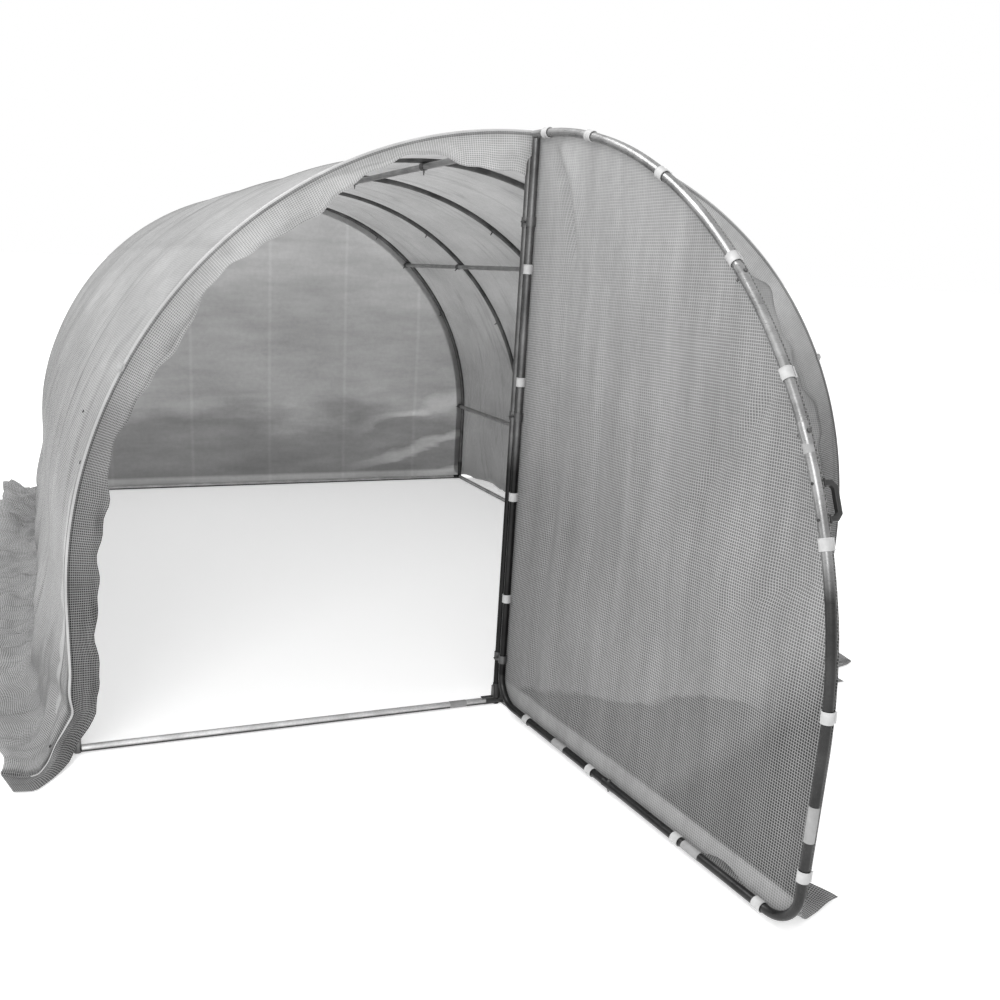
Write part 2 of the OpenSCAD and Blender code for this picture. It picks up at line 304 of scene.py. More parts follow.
# %% Sizes
TUBE_R = 0.0125
HOOPS = ("front_hoop", "second_hoop", "third_hoop", "fourth_hoop", "back_hoop")
low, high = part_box(HOOPS[0])
OUT_R = (high.x - low.x) / 2                    # outer radius of the hoops
LEG = high.z - OUT_R                            # height at which the arch starts
FRONT_Y = low.y
BACK_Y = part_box(HOOPS[-1])[1].y
HOOP_YS = [sum(c.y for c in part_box(name)) / 2 for name in HOOPS]
BAY = HOOP_YS[1] - HOOP_YS[0]
SKIN_R = OUT_R + 0.0015
QUARTER = SKIN_R * math.pi / 2                  # girth from the ridge to the arch's foot
FLAP = 0.125                                    # widest flap, from the tube's front inwards
WRAP_R = 0.0140                                 # radius of the film's turn round a tube
TURN = WRAP_R * math.pi / 2                     # film used up in that turn
TUBE_FRONT = FLAP + TURN                        # flat length from free edge to the hoop's top
print("outer radius", round(OUT_R, 4), "leg", round(LEG, 4), "bay", round(BAY, 4))

# %% [markdown]
# ## The film
# Greenhouse film is a clear sheet with a grid of white threads welded into it. It scatters
# light more than it lets a picture through, so the shader is a diffuse sheet mixed with a
# translucent one: light that falls on the far side glows through. The threads are 8 mm apart
# both ways. Every sheet carries a UV map in metres of the flat cut, so the grid bends,
# shrinks and turns with the cloth. The lowest part is darker: painted shade, for the dark
# ground close behind and below it.

# %% Film material
THREAD_PITCH = 0.008
THREAD_WIDTH = 0.0022
HEM_GAP = 0.0205                                # from the front hoop's top to the hem's edge


def marked_by_hoops(tree, tone, hoops, flat, t, height):
    """The cover's tone with painted shade and light from its frame: lines, creases, hem and a bright flap."""
    start, pitch = hoops
    # painted shade: a tube that touches the film from below shows through it as a darker line
    gap = math_node(tree, "PINGPONG", minus(tree, t, start), pitch / 2)
    tone = times(tree, tone, ramp(tree, gap, 0.007, 0.017, 0.80, 1.0))
    # painted shade: dark lines of long creases side by side with the hoops, where the film was folded and
    # drawn askew
    lines = noise(tree, flat, 1.0, 2.0, 0.5, (0.55, 4.5, 1.0))
    lines = math_node(tree, "ABSOLUTE", minus(tree, lines, 0.5), 0.0)
    tone = times(tree, tone, ramp(tree, lines, 0.003, 0.020, 0.84, 1.0))
    # painted shade: a dark line along the hem's edge, beside the pale strip
    seam = math_node(tree, "ABSOLUTE", minus(tree, t, start - HEM_GAP), 0.0)
    tone = times(tree, tone, ramp(tree, seam, 0.0015, 0.006, 0.55, 1.0))
    # painted light: high on the front flap the film is a single layer against the sky, and is brightened
    high = ramp(tree, height, 1.0, 1.6, 0.0, 0.68)
    painted_backlight = times(tree, high, ramp(tree, t, 0.135, 0.150, 1.0, 0.0))
    return times(tree, tone, plus(tree, painted_backlight, 1.0))


def film(name, bright, dull, thread, through, behind, grid=1.0, streaks=(1.0, 1.0, 1.0),
         hoops=None, creases=None):
    """Thread-reinforced film: its cells go from bright to dull by the share behind() gives.

    through is the share of light let through, grid how strongly the threads show and streaks
    the stretch of the cloudy pattern. hoops gives where on the cut the first hoop lies and
    how far apart they are; creases gives how far apart the packing folds are."""
    material, tree = new_material(name)
    shader = tree.nodes["Principled BSDF"]
    shader.inputs["Roughness"].default_value = 0.33
    shader.inputs["Specular IOR Level"].default_value = 0.32
    flat = add(tree, "ShaderNodeUVMap", uv_map="UVMap").outputs["UV"]
    place = add(tree, "ShaderNodeTexCoord").outputs["Object"]
    s, t, _ = split(tree, flat)
    height = split(tree, place)["Z"]
    lines = []
    for across in (s, t):
        wave = math_node(tree, "PINGPONG", across, THREAD_PITCH / 2)
        lines.append(ramp(tree, wave, THREAD_WIDTH * 0.32, THREAD_WIDTH * 0.62, 1.0, 0.0))
    threads = larger(tree, lines[0], lines[1])
    ragged = noise(tree, place, 4.0, 5.0, 0.6, streaks)
    drift = noise(tree, place, 2.4, 4.0, 0.55, (0.6, 1.0, 2.0))
    # share of painted shade, from 0 to 1, given by the sheet's rule
    share = behind(tree, s, t, height, drift)
    cell = mix(tree, share, grey(bright), grey(dull))
    shown = times(tree, threads, ramp(tree, share, 0.0, 0.7, 0.25 * grid, grid))
    # painted shade: the threads darken along with the cells
    shaded_thread = mix(tree, share, grey(thread), grey(thread * 0.42))
    colour = mix(tree, shown, cell, shaded_thread)
    cloud = ramp(tree, noise(tree, place, 1.7, 4.0, 0.55), 0.3, 0.7, 0.90, 1.07)
    dust = ramp(tree, noise(tree, flat, 34.0, 5.0, 0.65), 0.35, 0.75, 1.03, 0.92)
    tone = times(tree, cloud, dust)
    tone = times(tree, tone, ramp(tree, ragged, 0.3, 0.7, 0.85, 1.10))
    if hoops:
        tone = marked_by_hoops(tree, tone, hoops, flat, t, height)
    if creases:
        # packing folds, a fixed distance apart, where the film has whitened
        gap = math_node(tree, "PINGPONG", s, creases / 2)
        tone = times(tree, tone, ramp(tree, gap, 0.004, 0.016, 1.10, 1.0))
    colour = mix(tree, 1.0, colour, tone, "MULTIPLY")
    tree.links.new(colour, shader.inputs["Base Color"])
    wrinkles = noise(tree, flat, 9.0, 4.0, 0.7)
    relief(tree, shader, plus(tree, times(tree, threads, 0.3), times(tree, wrinkles, 5.0)),
           0.5, 0.0014)
    glow = add(tree, "ShaderNodeBsdfTranslucent")
    tree.links.new(colour, glow.inputs["Color"])
    both = add(tree, "ShaderNodeMixShader", Fac=through)
    tree.links.new(shader.outputs[0], both.inputs[1])
    tree.links.new(glow.outputs[0], both.inputs[2])
    tree.links.new(both.outputs[0], tree.nodes["Material Output"].inputs["Surface"])
    return material


# %% [markdown]
# ## Where film looks dull
# Film is painted darker, as painted shade, where it lies double and low down, where the dark
# ground close behind it would show through. Each rule below gives that share, from 0 to 1,
# for a place on one sheet. It is told s and t of the flat cut, the height above the ground
# and a slowly drifting noise that breaks up the edges.

# %% Rules for dullness


def uneven_height(tree, height, drift):
    return plus(tree, height, times(tree, drift, 0.6))


def cover_behind(tree, s, t, height, drift):
    """Painted shade: dull on the front flap's legs, on the skirts, and in patches low on the walls."""
    flap = times(tree, ramp(tree, t, 0.165, 0.235, 1.0, 0.0),
                 ramp(tree, height, 0.5, 1.5, 1.0, 0.30))
    flap = times(tree, flap, ramp(tree, s, -0.2, 0.3, 1.0, 0.40))
    low = ramp(tree, uneven_height(tree, height, drift), 1.15, 0.45, 0.0, 0.66)
    wall = ramp(tree, height, 1.4, 0.85, 0.0, 0.72)
    return larger(tree, flap, larger(tree, low, wall))


def door_behind(tree, s, t, height, drift):
    """Painted shade, for the dark ground behind: dull below a slanting line that climbs towards the free
    edge.
    """
    mark = minus(tree, t, times(tree, s, 0.38))
    mark = plus(tree, mark, times(tree, drift, 0.16))
    low = ramp(tree, mark, 0.20, 0.14, 0.0, 0.86)
    # painted shade in the lower corner by the free edge, and growing towards the ground
    corner = ramp(tree, minus(tree, s, t), 0.2, 0.85, 0.0, 0.98)
    upper = ramp(tree, height, 1.95, 0.6, 0.02, 0.68)
    upper = plus(tree, upper, ramp(tree, s, 0.4, 1.3, 0.0, 0.26))
    upper = math_node(tree, "MINIMUM", upper, 0.64)
    folded = ramp(tree, t, 0.112, 0.098, 1.0, 0.30)
    return times(tree, larger(tree, low, larger(tree, upper, corner)), folded)


def panel_behind(tree, s, t, height, drift):
    """Painted shade: a little duller towards the ground, unevenly."""
    return ramp(tree, uneven_height(tree, height, drift), 1.9, 0.4, 0.05, 0.70)


def skirt_behind(tree, s, t, height, drift):
    """Painted shade: dull all over, a little uneven."""
    return ramp(tree, drift, 0.3, 0.7, 1.0, 0.80)


def wall_behind(tree, s, t, height, drift):
    """Painted shade in drifting bands above the ground, clear again in the lowest hand's breadth."""
    low = ramp(tree, uneven_height(tree, height, drift), 1.15, 0.72, 0.0, 0.80)
    wall = ramp(tree, height, 1.95, 1.1, 0.0, 0.50)
    foot = ramp(tree, height, 0.080, 0.060, 1.0, 0.35)
    # painted highlight: slanting bright bands where wrinkles catch the light in the lower right corner, seen
    # from the front
    slant = minus(tree, times(tree, height, 22.0), times(tree, s, 6.5))
    slant = plus(tree, slant, times(tree, drift, 7.0))
    bright = ramp(tree, math_node(tree, "SINE", slant, 0.0), 0.45, 0.95, 0.0, 0.62)
    bright = times(tree, bright, ramp(tree, s, 0.55, 1.15))
    bright = times(tree, bright, ramp(tree, height, 0.78, 0.60))
    share = times(tree, larger(tree, low, wall), foot)
    return times(tree, share, minus(tree, 1.0, bright))


def even_behind(tree, s, t, height, drift):
    """The same share nearly all over, a little uneven."""
    return ramp(tree, drift, 0.3, 0.7, 0.0, 0.3)


# %% [markdown]
# ## The film's finishes
# One recipe gives every kind of film: how bright and how dull its cells can be, how pale the
# threads are, and how much light comes through.

# %% Film finishes
cover_film = film("cover_film", 0.36, 0.022, 0.78, 0.52, cover_behind, 1.0, (1.0, 0.5, 1.0),
                  (TUBE_FRONT, BAY))
door_film = film("door_film", 0.315, 0.012, 0.60, 0.44, door_behind, 0.95, (3.0, 3.0, 0.35))
skirt_film = film("skirt_film", 0.34, 0.016, 0.80, 0.40, skirt_behind)
wall_film = film("wall_film", 0.58, 0.13, 0.55, 0.50, wall_behind, 0.35, (0.5, 1.0, 2.4),
                 creases=0.55)
panel_film = film("panel_film", 0.40, 0.030, 0.62, 0.50, panel_behind)
strip_film = film("strip_film", 0.36, 0.040, 0.60, 0.30, even_behind, 0.9)
# pale film, for the painted highlight strip over the front hoop, the pressed nuts and the loose thread
pale_film = film("pale_film_finish", 0.46, 0.18, 0.60, 0.25, even_behind, 0.5)
print("film threads every", THREAD_PITCH * 1000, "mm")

# %% [markdown]
# ## Metal on the frame
# The tubes, rails and fittings have the right shape already, so they keep their meshes and
# only take a finish. The inside hoops look darker than the post and the door leaf, and the
# rails on the ground are bright above, with painted shade below.

# %% Finishes of the frame
finishes = {
    hoop_metal: HOOPS,
    purlin_metal: ("ridge_purlin", "upper_left_purlin", "upper_right_purlin",
                   "lower_left_purlin", "lower_right_purlin"),
    post_metal: ("door_post", "door_hinge_tube"),
    leaf_metal: ("door_arch_tube", "door_bottom_tube"),
    rail_metal: ("left_base_rail", "right_base_rail", "front_base_rail", "back_base_rail"),
    fitting_metal: ("purlin_clamps", "post_foot_angles", "post_head_angles", "hinge_bands"),
}
for finish, names in finishes.items():
    for name in names:
        nodes[name].data.materials.clear()
        nodes[name].data.materials.append(finish)
print("finished nodes:", sum(len(names) for names in finishes.values()))

# %% [markdown]
# ## How a sheet is made here
# Film is cut flat and then drawn over a frame, and the same order works in Blender. A grid is
# added flat, its UV map is set to the metres of the flat cut, and a shape function then says
# where each point of the cut ends up. Because the threads read that UV map, they follow every
# fold. Folds and sag are small waves added along the sheet's normal. A cloth simulation is
# the other way to get them; here each fold is placed one by one, so that it lies where wanted.

# %% Helpers for sheets


def let_go():
    """Leaves edit mode and deselects everything."""
    if bpy.context.object and bpy.context.object.mode != "OBJECT":
        bpy.ops.object.mode_set(mode="OBJECT")
    bpy.ops.object.select_all(action="DESELECT")


def take(piece):
    """Makes piece the only selected and active object."""
    let_go()
    piece.select_set(True)
    bpy.context.view_layer.objects.active = piece


def smooth(low_edge, high_edge, value):
    """0 below low_edge, 1 above high_edge, with a soft step between."""
    share = np.clip((value - low_edge) / (high_edge - low_edge), 0.0, 1.0)
    return share * share * (3 - 2 * share)


def bump_at(value, centre, reach):
    """A bell that is 1 at centre and fades over reach."""
    return np.exp(-((value - centre) / reach) ** 2)


def ripples(seed, across, along, longest, shortest, waves=9):
    """Smooth seeded unevenness from -1 to 1 over two flat coordinates in metres."""
    draw = np.random.RandomState(seed)
    total = np.zeros_like(across)
    for step in range(waves):
        length = longest * (shortest / longest) ** (step / (waves - 1))
        heading = draw.uniform(0, math.pi)
        phase = draw.uniform(0, 2 * math.pi)
        turned = across * math.cos(heading) + along * math.sin(heading)
        total += np.sin(turned * 2 * math.pi / length + phase) * (length / longest) ** 0.6
    return total / math.sqrt(waves)


def make_sheet(name, across, along, flat, shape, finish):
    """A grid of across x along cells, cut to flat(u, v) in metres and shaped by shape(s, t)."""
    let_go()
    bpy.ops.mesh.primitive_grid_add(x_subdivisions=across, y_subdivisions=along, size=1)
    sheet = bpy.context.object
    sheet.name = name
    sheet.data.name = name
    mesh = sheet.data
    unit = np.zeros(len(mesh.vertices) * 3)
    mesh.vertices.foreach_get("co", unit)
    unit = unit.reshape(-1, 3) + 0.5
    s, t = flat(unit[:, 0], unit[:, 1])
    mesh.vertices.foreach_set("co", np.stack(shape(s, t), axis=1).ravel())
    corner = np.zeros(len(mesh.loops), int)
    mesh.loops.foreach_get("vertex_index", corner)
    mesh.uv_layers[0].name = "UVMap"
    mesh.uv_layers[0].data.foreach_set("uv", np.stack((s, t), axis=1)[corner].ravel())
    mesh.update()
    mesh.materials.append(finish)
    bpy.ops.object.shade_smooth()
    print(name, "has", len(mesh.polygons), "faces")
    return sheet


def flip(sheet):
    """Turns a sheet's faces over, where the grid came out with its back outwards."""
    take(sheet)
    bpy.ops.object.mode_set(mode="EDIT")
    bpy.ops.mesh.select_all(action="SELECT")
    bpy.ops.mesh.flip_normals()
    bpy.ops.object.mode_set(mode="OBJECT")


# %% [markdown]
# ## The cover: its section
# The cover is one sheet from the ground on the left, over the arch, to the ground on the
# right. It leaves the leg a little above the ground, leans outwards and lies on the ground as
# a skirt that is weighed down with soil in use. The section is walked in one-millimetre
# steps: upright at first, then leaning, then turning flat as it nears the ground. Two such
# sections, one leaning more than the other, are blended along the tunnel.

# %% Section of the skirt
SKIRT_RUN = LEG + 0.25                          # girth from the arch's foot to the free edge
GROUND = 0.002
STEP = 0.001


def walk_section(lean_deg, leave_at):
    """Distances outwards and heights every millimetre, down the wall and out on the ground."""
    out, up = [0.0], [LEG]
    for _ in range(int(SKIRT_RUN / STEP) + 2):
        leaving = min(max((leave_at - up[-1]) / 0.12, 0.0), 1.0)
        landing = min(max((0.06 - up[-1]) / 0.055, 0.0), 1.0)
        angle = math.radians(lean_deg * leaving + (90 - lean_deg * leaving) * landing)
        out.append(out[-1] + STEP * math.sin(angle))
        up.append(max(up[-1] - STEP * math.cos(angle), GROUND))
    return np.array(out), np.array(up)


steep_out, steep_up = walk_section(8.0, 0.16)
slack_out, slack_up = walk_section(24.0, 0.30)
steps = np.arange(len(steep_out)) * STEP
print("skirt lands", round(float(steep_out[600]), 3), "to", round(float(slack_out[600]), 3))

# %% [markdown]
# ## The cover: along the tunnel
# Between two hoops the film sags a little, and it leaves each hoop with a small dip, so the
# round tube shows through as a ridge. At the front it turns round the tube and runs inwards
# as a flap, whose free edge is scalloped: it is narrow where ties pull it tight and wide in
# between. At the back it laps over the back wall's edge.

# %% Shape of the cover
LAP = 0.045                                     # lap over the back wall
COVER_LENGTH = TUBE_FRONT + (BACK_Y - TUBE_R - HOOP_YS[0]) + TURN + LAP
COVER_HALF = QUARTER + SKIRT_RUN
TIES = ((18.0, 0.060, 8.0), (44.0, 0.040, 5.0), (68.0, 0.030, 6.0))


def flap_width(s):
    """Width of the front flap at girth s: ties pinch it at three angles on each side."""
    turned = np.degrees(np.abs(s) / SKIN_R)
    width = 0.090 + 0.035 * bump_at(turned, 0.0, 9.0) - 0.012 * smooth(80, 95, turned)
    for angle, depth, reach in TIES:
        width = width - depth * bump_at(turned, angle, reach)
    return width + 0.006 * np.sin(s * 21.0) + 0.004 * np.sin(s * 47.0 + 1.0)


def cover_cut(u, v):
    """Flat cut of the cover: girth s from -half to half, length t from the flap's edge."""
    s = (u - 0.5) * 2 * COVER_HALF
    flap_rows = 0.085
    back_rows = 0.035
    body = np.clip((v - flap_rows) / (1 - flap_rows - back_rows), 0, 1)
    bays = body * 4
    bays = bays - 0.3 * np.sin(2 * math.pi * bays) / (2 * math.pi)
    span = COVER_LENGTH - TUBE_FRONT - TURN - LAP
    front = np.clip(v / flap_rows, 0, 1)
    front = np.where(front < 0.6, front / 0.6 * FLAP, FLAP + (front - 0.6) / 0.4 * TURN)
    back = np.clip((v - 1 + back_rows) / back_rows, 0, 1) * (TURN + LAP)
    t = np.where(v < flap_rows, front, TUBE_FRONT + bays * span / 4 + back)
    return s, t


def cover_section(s, y):
    """Place, outward direction and how far down the skirt, for girth s at y along the tunnel."""
    side = np.where(s < 0, -1.0, 1.0)
    angle = np.clip(np.abs(s), 0, QUARTER) / SKIN_R
    below = np.clip(np.abs(s) - QUARTER, 0, SKIRT_RUN)
    slack = 0.5 + 0.5 * np.sin(y * 2.1 + 1.2 + side) * np.cos(y * 0.9 + 0.4 * side)
    out = (1 - slack) * np.interp(below, steps, steep_out) + slack * np.interp(below, steps, slack_out)
    up = (1 - slack) * np.interp(below, steps, steep_up) + slack * np.interp(below, steps, slack_up)
    # behind the front hoop the lower wall is blown outwards and leaves the legs early
    out = out + 0.048 * smooth(0.02, 0.30, below) * smooth(0.60, 0.36, below) * smooth(0.0, 0.4, y)
    # at the back it stays close to the hoop, where the back wall is welded to it
    out = out * (1 - smooth(3.5, 3.9, y) * smooth(0.56, 0.44, below))
    x = side * (SKIN_R * np.sin(angle) + out)
    z = np.where(below > 0, up, LEG + SKIN_R * np.cos(angle))
    return x, z, side * np.sin(angle), np.cos(angle), below, side


print("cover is cut", round(2 * COVER_HALF, 2), "by", round(COVER_LENGTH, 2), "metres")

# %% [markdown]
# ## The cover: its front corners
# The front corners of the skirt are pulled forward and out: the fold over the hoop's front
# leaves the leg above the ground and runs out to the skirt's corner, and the flap beyond it
# curls down beside it. Each row below is the run below the arch's foot and a place beside
# that leg. The rows are joined softly, and the sheet is led over to them.

# %% Front corners
LEFT_FOLD = ((0.26, -1.4875, -0.0150, 0.24), (0.36, -1.490, -0.018, 0.14),
             (0.41, -1.516, -0.022, 0.10), (0.47, -1.552, -0.060, 0.062),
             (0.53, -1.574, -0.110, 0.030), (0.59, -1.603, -0.146, 0.010),
             (0.66, -1.645, -0.150, 0.004), (0.75, -1.715, -0.105, 0.003))
LEFT_EDGE = ((0.26, -1.420, -0.017, 0.24), (0.36, -1.422, -0.018, 0.14),
             (0.41, -1.448, -0.019, 0.090), (0.47, -1.490, -0.022, 0.038),
             (0.53, -1.512, -0.090, 0.014), (0.59, -1.556, -0.160, 0.005),
             (0.66, -1.615, -0.238, 0.004), (0.75, -1.678, -0.225, 0.004))
RIGHT_FOLD = ((0.26, 1.4875, -0.015, 0.24), (0.38, 1.490, -0.018, 0.12),
              (0.47, 1.525, -0.026, 0.045), (0.54, 1.562, -0.038, 0.010),
              (0.64, 1.620, -0.034, 0.004), (0.75, 1.672, -0.022, 0.004))
RIGHT_EDGE = ((0.26, 1.425, -0.017, 0.24), (0.38, 1.430, -0.018, 0.12),
              (0.47, 1.455, -0.032, 0.030), (0.54, 1.500, -0.060, 0.006),
              (0.64, 1.560, -0.062, 0.004), (0.75, 1.625, -0.046, 0.004))


def along_points(points, share):
    """Places along a row of (run, x, y, z) points, softly joined, at the runs in share."""
    rows = np.array(points)
    fine = np.linspace(rows[0, 0], rows[-1, 0], 240)
    lines = [np.interp(fine, rows[:, 0], rows[:, k]) for k in (1, 2, 3)]
    kernel = np.hanning(31) / np.hanning(31).sum()
    soft = [np.convolve(np.pad(line, 15, mode="reflect", reflect_type="odd"), kernel, "valid")
            for line in lines]
    return [np.interp(share, fine, line) for line in soft]


def curl_foot(points, standard, fold_points, edge_points, below, rows, share):
    """Moves the skirt's front corner. standard is the undisturbed line over the hoop, rows say
    how far each point is along, round the turn and across the flap, and share is 1 on this side."""
    along, bent, gone = rows
    fold = along_points(fold_points, below)
    edge = along_points(edge_points, below)
    side = math.copysign(1.0, fold_points[0][1])
    near = share * smooth(0.26, 0.36, below)
    leaving = smooth(0.36, 0.47, below)
    outer = (fold[0] + side * (WRAP_R - 0.011 * leaving), fold[1] + 0.015 - 0.007 * leaving,
             fold[2] + 0.003 * leaving)
    turned = np.sin(bent)
    curl = 0.014 * np.sin(math.pi * gone) * smooth(0.75, 0.5, below)
    front = near * (along <= 0)
    pull = near * (along > 0) * (1 - smooth(0.0, 0.8, along))
    moved = []
    for axis in range(3):
        strip = (1 - gone) * fold[axis] + gone * edge[axis] + (curl if axis == 2 else 0.0)
        strip = outer[axis] * (1 - turned) + strip * turned
        value = points[axis] * (1 - front) + strip * front
        moved.append(value + (outer[axis] - standard[axis]) * pull)
    return moved


print("front corners follow", len(LEFT_FOLD) + len(RIGHT_FOLD), "places")

# %% [markdown]
# ## The cover: sag, pleats and edges
# Now the whole cover: each bay sags a little, low walls are blown out, pleats stand beside the
# hoops, and the skirt crumples on the ground. At the front and back the film turns round a
# tube. A pleat is given by its place along the tunnel, the girth at its middle, its reach
# along the girth and its height.

# %% The cover
PLEATS = ((0.33, -1.55, 0.45, 0.010), (0.58, -1.15, 0.60, 0.011), (0.79, -1.75, 0.35, 0.008),
          (1.29, -1.25, 0.55, 0.011), (1.52, -1.65, 0.40, 0.009), (1.77, -1.00, 0.50, 0.010),
          (2.42, -1.30, 0.50, 0.010), (2.66, -0.90, 0.40, 0.008), (0.45, 1.40, 0.60, 0.010),
          (1.55, 1.10, 0.55, 0.010), (2.50, 1.45, 0.60, 0.010), (3.45, -1.20, 0.50, 0.009))


def cover_shape(s, t):
    """Where each point of the cut lies on the tunnel."""
    along = t - TUBE_FRONT
    span = BACK_Y - TUBE_R - HOOP_YS[0]
    y = HOOP_YS[0] + np.clip(along, 0, span)
    x, z, nx, nz, below, side = cover_section(s, y)
    bay = (y - HOOP_YS[0]) / BAY
    hang = 1 - (1 - 4 * (bay % 1) * (1 - bay % 1)) ** 4.5
    low_down = smooth(0.0, 0.5, below)
    askew = y + 0.035 * np.sin(s * 2.3 + 0.8) + 0.012 * ripples(17, s, y, 0.7, 0.2)
    pleats = sum(height * bump_at(askew, place, 0.023) * bump_at(s, middle, reach)
                 for place, middle, reach, height in PLEATS)
    sag = hang * (0.015 + 0.006 * ripples(3, s, y, 2.4, 0.6)) * (1 - 0.5 * low_down)
    sag = sag + hang * 0.0045 * ripples(5, s * 0.30, y, 0.45, 0.10)
    sag = sag + hang * low_down * 0.020 * ripples(8, s * 0.45, y, 0.6, 0.10)
    blown = hang ** 0.5 * bump_at(s, -1.0 * QUARTER, 0.80) * smooth(-0.1, 0.7, y)
    sag = sag - 0.046 * blown * smooth(0.56, 0.30, below)
    sag = sag - pleats * hang
    x = x - nx * sag
    z = z - nz * sag
    lying = smooth(0.42, 0.56, below)
    crumple = np.abs(ripples(11, s, y, 0.45, 0.07)) * 0.026 * lying
    z = z + crumple * (0.35 + 0.65 * smooth(0.1, 0.7, y))
    kicked = lying * smooth(2.3, 3.3, y) * smooth(4.1, 3.75, y) * np.where(side < 0, 1, 0.15)
    z = z + kicked * (0.10 * smooth(0.50, 0.75, below) + 0.035 * np.abs(ripples(14, s, y, 0.3, 0.1)))
    # front: round the tube, then inwards as the flap
    bent = np.clip(-along / TURN, 0, 1) * math.pi / 2
    gone = np.clip(-along - TURN, 0, FLAP) / FLAP
    width = flap_width(s)
    inward = WRAP_R * (1 - np.cos(bent)) + gone * width
    x = x - nx * inward
    z = z - nz * inward
    wave = ripples(21, s, gone * 0.1, 0.33, 0.09)
    y = y - 0.0145 * np.sin(bent) - 0.002 * gone + 0.0035 * gone * wave
    y = y + smooth(0.058, 0.090, gone * width) * (0.010 + 0.008 * wave + 0.004 * np.sin(s * 60))
    rows = (along, bent, gone)
    # back: round the tube and over the back wall's edge
    beyond = along - span
    bent = np.clip(beyond / TURN, 0, 1) * math.pi / 2
    inward = WRAP_R * (1 - np.cos(bent)) + np.clip(beyond - TURN, 0, LAP)
    x = x - nx * inward
    z = z - nz * inward * (1 - lying)
    y = y + 0.0165 * np.sin(bent)
    start = np.full_like(s, HOOP_YS[0])
    hoop_x, hoop_z = cover_section(s, start)[:2]
    standard = (hoop_x, start, hoop_z)
    points = (x, y, z)
    points = curl_foot(points, standard, LEFT_FOLD, LEFT_EDGE, below, rows, side < 0)
    points = curl_foot(points, standard, RIGHT_FOLD, RIGHT_EDGE, below, rows, side > 0)
    return points[0], points[1], np.maximum(points[2], 0.001)


cover = make_sheet("cover_sheet", 256, 360, cover_cut, cover_shape, cover_film)

# %% [markdown]
# ## Highlight strip along the front hoop
# Where the film turns over the front hoop a pale strip lies on the fold: a painted highlight
# along the tube's ridge. It is a very narrow sheet. It uses the cover's own shape function, a
# little further out, so it lies exactly on the fold and follows it down to the ground.

# %% Front hoop highlight strip
HIGHLIGHT_STRIP_W = 0.0105
HIGHLIGHT_STRIP_LIFT = 0.0012


def highlight_strip_cut(u, v):
    """A strip of the cover's cut, centred on the turn over the tube's front."""
    return (u - 0.5) * 2 * (COVER_HALF - 0.12), TUBE_FRONT - TURN * 0.55 + (v - 0.5) * HIGHLIGHT_STRIP_W


def highlight_strip_shape(s, t):
    """The cover's shape, moved out by the strip's thickness."""
    x, y, z = cover_shape(s, t)
    _, _, nx, nz, _, _ = cover_section(s, y)
    return x + nx * HIGHLIGHT_STRIP_LIFT, y - HIGHLIGHT_STRIP_LIFT, z + nz * HIGHLIGHT_STRIP_LIFT + 0.0005


# painted highlight: a pale strip along the front hoop's ridge
hoop_highlight_strip = make_sheet("front_hoop_highlight_strip", 420, 3, highlight_strip_cut, highlight_strip_shape, pale_film)

# %% [markdown]
# ## Welded strip on the left wall
# Behind the front hoop, on the left, a strip of the same film is welded on where two widths
# of the cover overlap. It runs down the wall a little askew, and its lower end hangs free. It
# is cut from the cover's own shape too, so it follows every ripple below it.

# %% Welded strip
STRIP_TOP = 0.43                                # girth above the arch's foot
STRIP_L = 0.86
STRIP_W = 0.036


def strip_cut(u, v):
    return u * STRIP_L, (v - 0.5) * STRIP_W


def strip_shape(down, across):
    """A band that starts beside the hoop and drifts away from it, standing off the cover."""
    s = -(QUARTER - STRIP_TOP + down)
    away = 0.065 + 0.085 * smooth(0.25, STRIP_L, down) + 0.006 * np.sin(down * 13.0)
    narrow = smooth(0.0, 0.12, down) * smooth(STRIP_L, STRIP_L - 0.05, down) * 0.75 + 0.25
    x, y, z = cover_shape(s, TUBE_FRONT + away + across * narrow)
    _, _, nx, nz, _, _ = cover_section(s, y)
    lift = 0.0016 + 0.006 * smooth(0.0, 0.018, across) * np.abs(ripples(71, down, across, 0.4, 0.1))
    return x + nx * lift, y, z + nz * lift


wall_strip = make_sheet("wall_strip_sheet", 130, 6, strip_cut, strip_shape, strip_film)

# %% [markdown]
# ## The back wall
# The back wall is cut to the tunnel's section and welded to the cover, with a skirt that turns
# out on the ground behind. Only threads and film hold it, so it bellies a little, keeps the
# creases of its packing and wrinkles near the ground.

# %% Back wall
BACK_SKIRT = 0.25
BACK_PLANE = BACK_Y + 0.0012


def wall_top(x, radius):
    """Height of the arch of that radius above x."""
    return LEG + np.sqrt(np.maximum(radius ** 2 - x ** 2, 0.0))


def back_cut(u, v):
    x = (SKIN_R - 0.001) * np.sin((u - 0.5) * math.pi)
    top = wall_top(x, SKIN_R - 0.001)
    return x, -BACK_SKIRT + v * (top + BACK_SKIRT)


